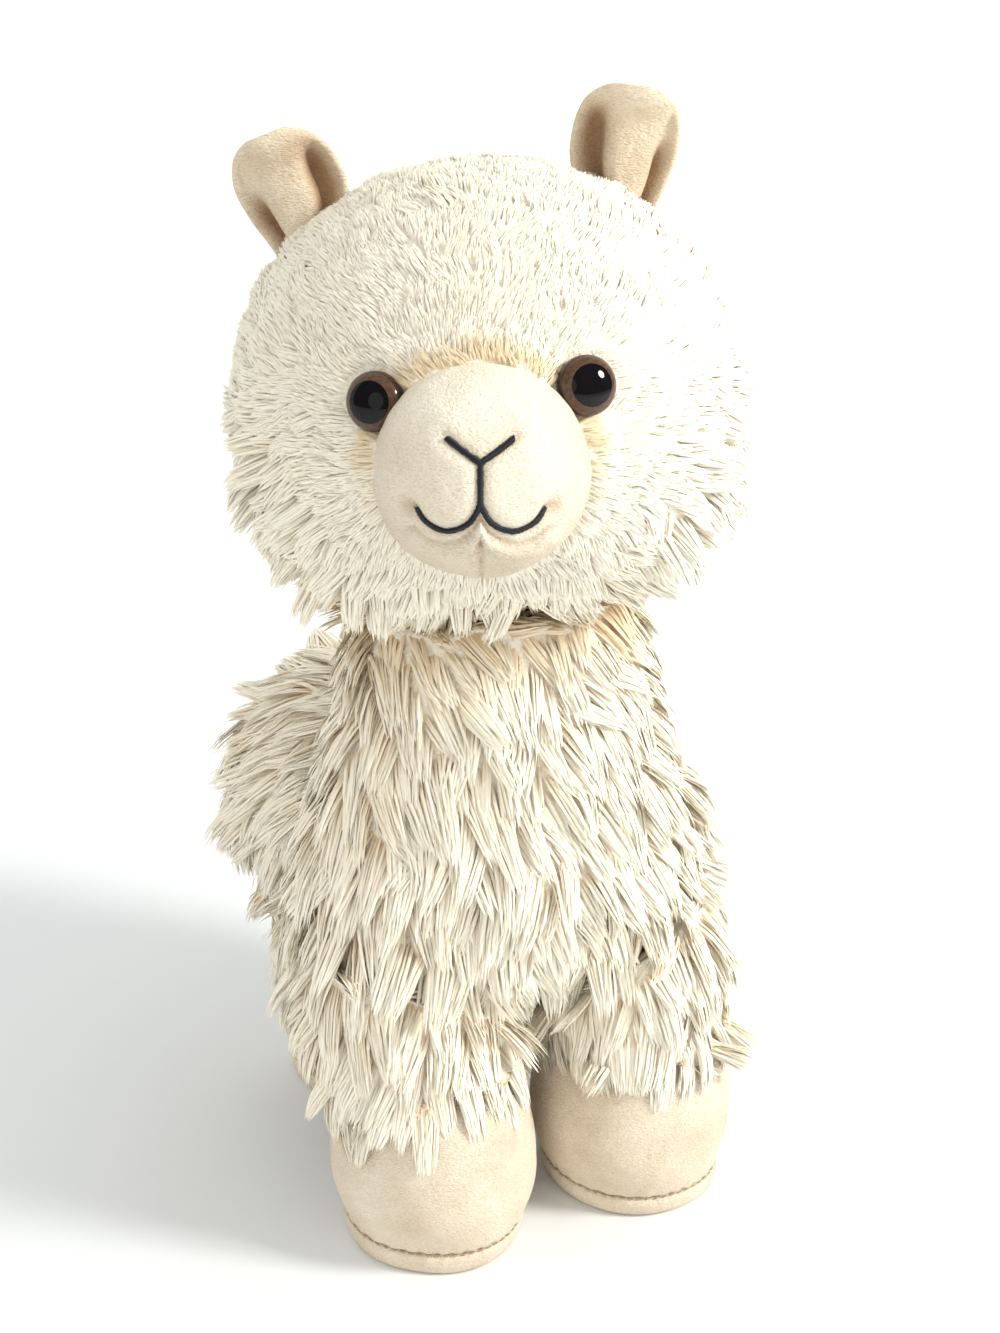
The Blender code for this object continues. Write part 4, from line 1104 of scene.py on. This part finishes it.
BOOT_WIDEST = 0.026
BOOT_FOOT_SHARE = 0.905
SOLE_TOP = 0.0085
SOLE_PROFILE = (
    (0.50, 0.0),
    (0.90, 0.0),
    (0.942, 0.0008),
    (0.972, 0.0022),
    (0.990, 0.0042),
    (1.0, 0.0062),
    (0.992, 0.0076),
    (0.955, SOLE_TOP),
)
BOOT_TURN = 0.0017
BOOT_CROWN = 0.8
BOOT_PUCKER = 0.00035
SOLE_PUCKER = 0.00030
SEAM_SHARE = 0.985
SEAM_STITCHES = 64
STITCH_STEPS = 6
SEAM_THREAD = 0.00034


def boot_ring(middle, half, share, height, columns, pucker, seed):
    """An oval round a boot, dented a little, and gathered by its pucker."""
    turn = np.arange(columns) * math.tau / columns
    oval = (half[0] * share * np.cos(turn), half[1] * share * np.sin(turn), np.full(columns, height))
    ring = np.stack(oval, axis=1)
    ring += np.array((middle.x, middle.y, 0.0))
    out = np.stack((np.cos(turn), np.sin(turn), np.zeros(columns)), axis=1)
    dents = 0.00055 * wobble(ring, 0.030, seed)
    ruche = pucker * np.sin(turn * 34 + 2.0 * np.sin(turn * 3 + seed))
    return ring + out * (dents + ruche)[:, None]


def stitch_line(name, line):
    """Short stitches along a closed line, each a thread with tapered ends."""
    vertices, faces = [], []
    sides, spans = 5, 4
    for start in range(0, len(line), STITCH_STEPS):
        base = len(vertices)
        for s in range(spans + 1):
            centre, ahead = line[start + s], line[(start + s + 1) % len(line)]
            way = unit(ahead - centre)
            out = np.array((way[1], -way[0], 0.0))
            radius = SEAM_THREAD * (0.45 + 0.55 * math.sin(math.pi * s / spans))
            for k in range(sides):
                turn = math.tau * k / sides
                vertices.append(centre + radius * (out * math.cos(turn) + np.array((0, 0, math.sin(turn)))))
        faces += thread_faces(base, sides, spans)
    return outward(add_mesh_object(name, vertices, faces, (SEAM,)))


def build_boot(place, seed):
    """A boot, the sole that closes it and the stitched seam between them."""
    low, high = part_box(f"foot_{place}")
    middle = (low + high) / 2
    half = ((high.x - low.x) / 2, (high.y - low.y) / 2)
    columns, foot = 120, BOOT_FOOT_SHARE
    levels = [(0.70, low.z), (foot - 0.040, low.z + 0.0001), (foot - 0.012, low.z + 0.0007)]
    for i in range(11):
        rise = i / 10
        share = foot + (1 - foot) * math.sin(math.pi / 2 * rise)
        levels.append((share, low.z + BOOT_TURN + (BOOT_WIDEST - low.z - BOOT_TURN) * rise))
    for degrees in range(6, 88, 6):
        share = math.cos(math.radians(degrees)) ** BOOT_CROWN
        above = math.sin(math.radians(degrees)) ** BOOT_CROWN
        levels.append((share, BOOT_WIDEST + (high.z - BOOT_WIDEST) * above))
    rings = []
    for share, height in levels:
        pucker = BOOT_PUCKER * float(smooth_step(low.z + 0.006, low.z + 0.001, height))
        rings.append(boot_ring(middle, half, share, height, columns, pucker, seed))
    first, last = (middle.x, middle.y, low.z), (middle.x, middle.y, high.z)
    boot = tube(f"boot_{place}", first, rings, last, (BOOT,))
    finish_piece(boot, (f"foot_{place}",))

    low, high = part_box(f"sole_{place}")
    half = ((high.x - low.x) / 2, (high.y - low.y) / 2)
    rings = []
    for share, height in SOLE_PROFILE:
        pucker = SOLE_PUCKER * float(smooth_step(0.004, 0.008, height))
        rings.append(boot_ring(middle, half, share, height, columns, pucker, seed))
    for ring in rings[:2]:
        ring[:, 2] = 0.0
    first, last = (middle.x, middle.y, 0.0), (middle.x, middle.y, SOLE_TOP)
    sole = tube(f"sole_pad_{place}", first, rings, last, (BOOT,))
    finish_piece(sole, (f"sole_{place}",))
    line = boot_ring(middle, half, SEAM_SHARE, SOLE_TOP + 0.0002, SEAM_STITCHES * STITCH_STEPS, 0.0, seed)
    finish_piece(stitch_line(f"sole_seam_{place}", line))


for number, place in enumerate(("front_left", "front_right", "hind_left", "hind_right")):
    build_boot(place, 60 + number)


# Floor, light and camera

CLOTH_REACH = 3.0
CLOTH_BEND = 0.50
CLOTH_BEND_START = 0.35
LIGHT_TARGET = (0.0, 0.0, 0.2)
KEY_POWER = 26.0
FILL_POWER = 2.5
WORLD_STRENGTH = 0.94
REFLECTED_STRENGTH = 0.12


def build_backdrop():
    """A floor that curves up into a wall behind the toy."""
    reach, bend, start, steps = CLOTH_REACH, CLOTH_BEND, CLOTH_BEND_START, 24
    profile = [(-reach, 0.0), (start, 0.0)]
    for i in range(1, steps + 1):
        turn = math.pi / 2 * i / steps
        profile.append((start + bend * math.sin(turn), bend - bend * math.cos(turn)))
    profile.append((start + bend, reach))
    vertices = [(x, y, z) for y, z in profile for x in (-reach, reach)]
    faces = [(2 * i, 2 * i + 1, 2 * i + 3, 2 * i + 2) for i in range(len(profile) - 1)]
    material, tree, shader = new_material("pale_cloth", 0.9)
    noise = add_noise(tree, 3.0, 2.0)
    colour = add_ramp(tree, noise, ((0.3, (0.77, 0.785, 0.79)), (0.7, (0.80, 0.815, 0.82))))
    tree.links.new(colour, shader.inputs["Base Color"])
    backdrop = add_mesh_object("backdrop", vertices, faces, (material,))


def add_lamp(name, place, size, power, colour):
    """A round lamp that shines on the toy."""
    light = bpy.data.lights.new(name, "AREA")
    light.shape = "DISK"
    light.size = size
    light.energy = power
    light.color = colour
    lamp = placed(name, light)
    lamp.location = place
    lamp.rotation_euler = (Vector(place) - Vector(LIGHT_TARGET)).to_track_quat("Z", "Y").to_euler()


build_backdrop()
add_lamp("key", (1.15, -0.85, 1.10), 0.45, KEY_POWER, (1.0, 0.99, 0.965))
add_lamp("fill", (-1.1, -1.3, 0.7), 1.2, FILL_POWER, (1.0, 0.985, 0.96))

world = bpy.data.worlds.new("studio")
bpy.context.scene.world = world
world.use_nodes = True
background = world.node_tree.nodes["Background"]
background.inputs["Color"].default_value = (1.0, 1.0, 0.985, 1.0)
rays = world.node_tree.nodes.new("ShaderNodeLightPath")
dimmed = world.node_tree.nodes.new("ShaderNodeMapRange")
dimmed.inputs["To Min"].default_value = WORLD_STRENGTH
dimmed.inputs["To Max"].default_value = REFLECTED_STRENGTH
world.node_tree.links.new(rays.outputs["Is Glossy Ray"], dimmed.inputs["Value"])
world.node_tree.links.new(dimmed.outputs["Result"], background.inputs["Strength"])

camera_data = bpy.data.cameras.new("camera")
camera_data.lens = CAMERA_LENS
camera_data.sensor_width = 36.0
camera_data.clip_start = 0.05
camera = placed("camera", camera_data)
camera.location = CAMERA_PLACE + SHIFT
camera.rotation_euler = (math.pi / 2 - CAMERA_PITCH, 0.0, CAMERA_TURN)
bpy.context.scene.camera = camera
bpy.context.scene.view_settings.view_transform = "Standard"
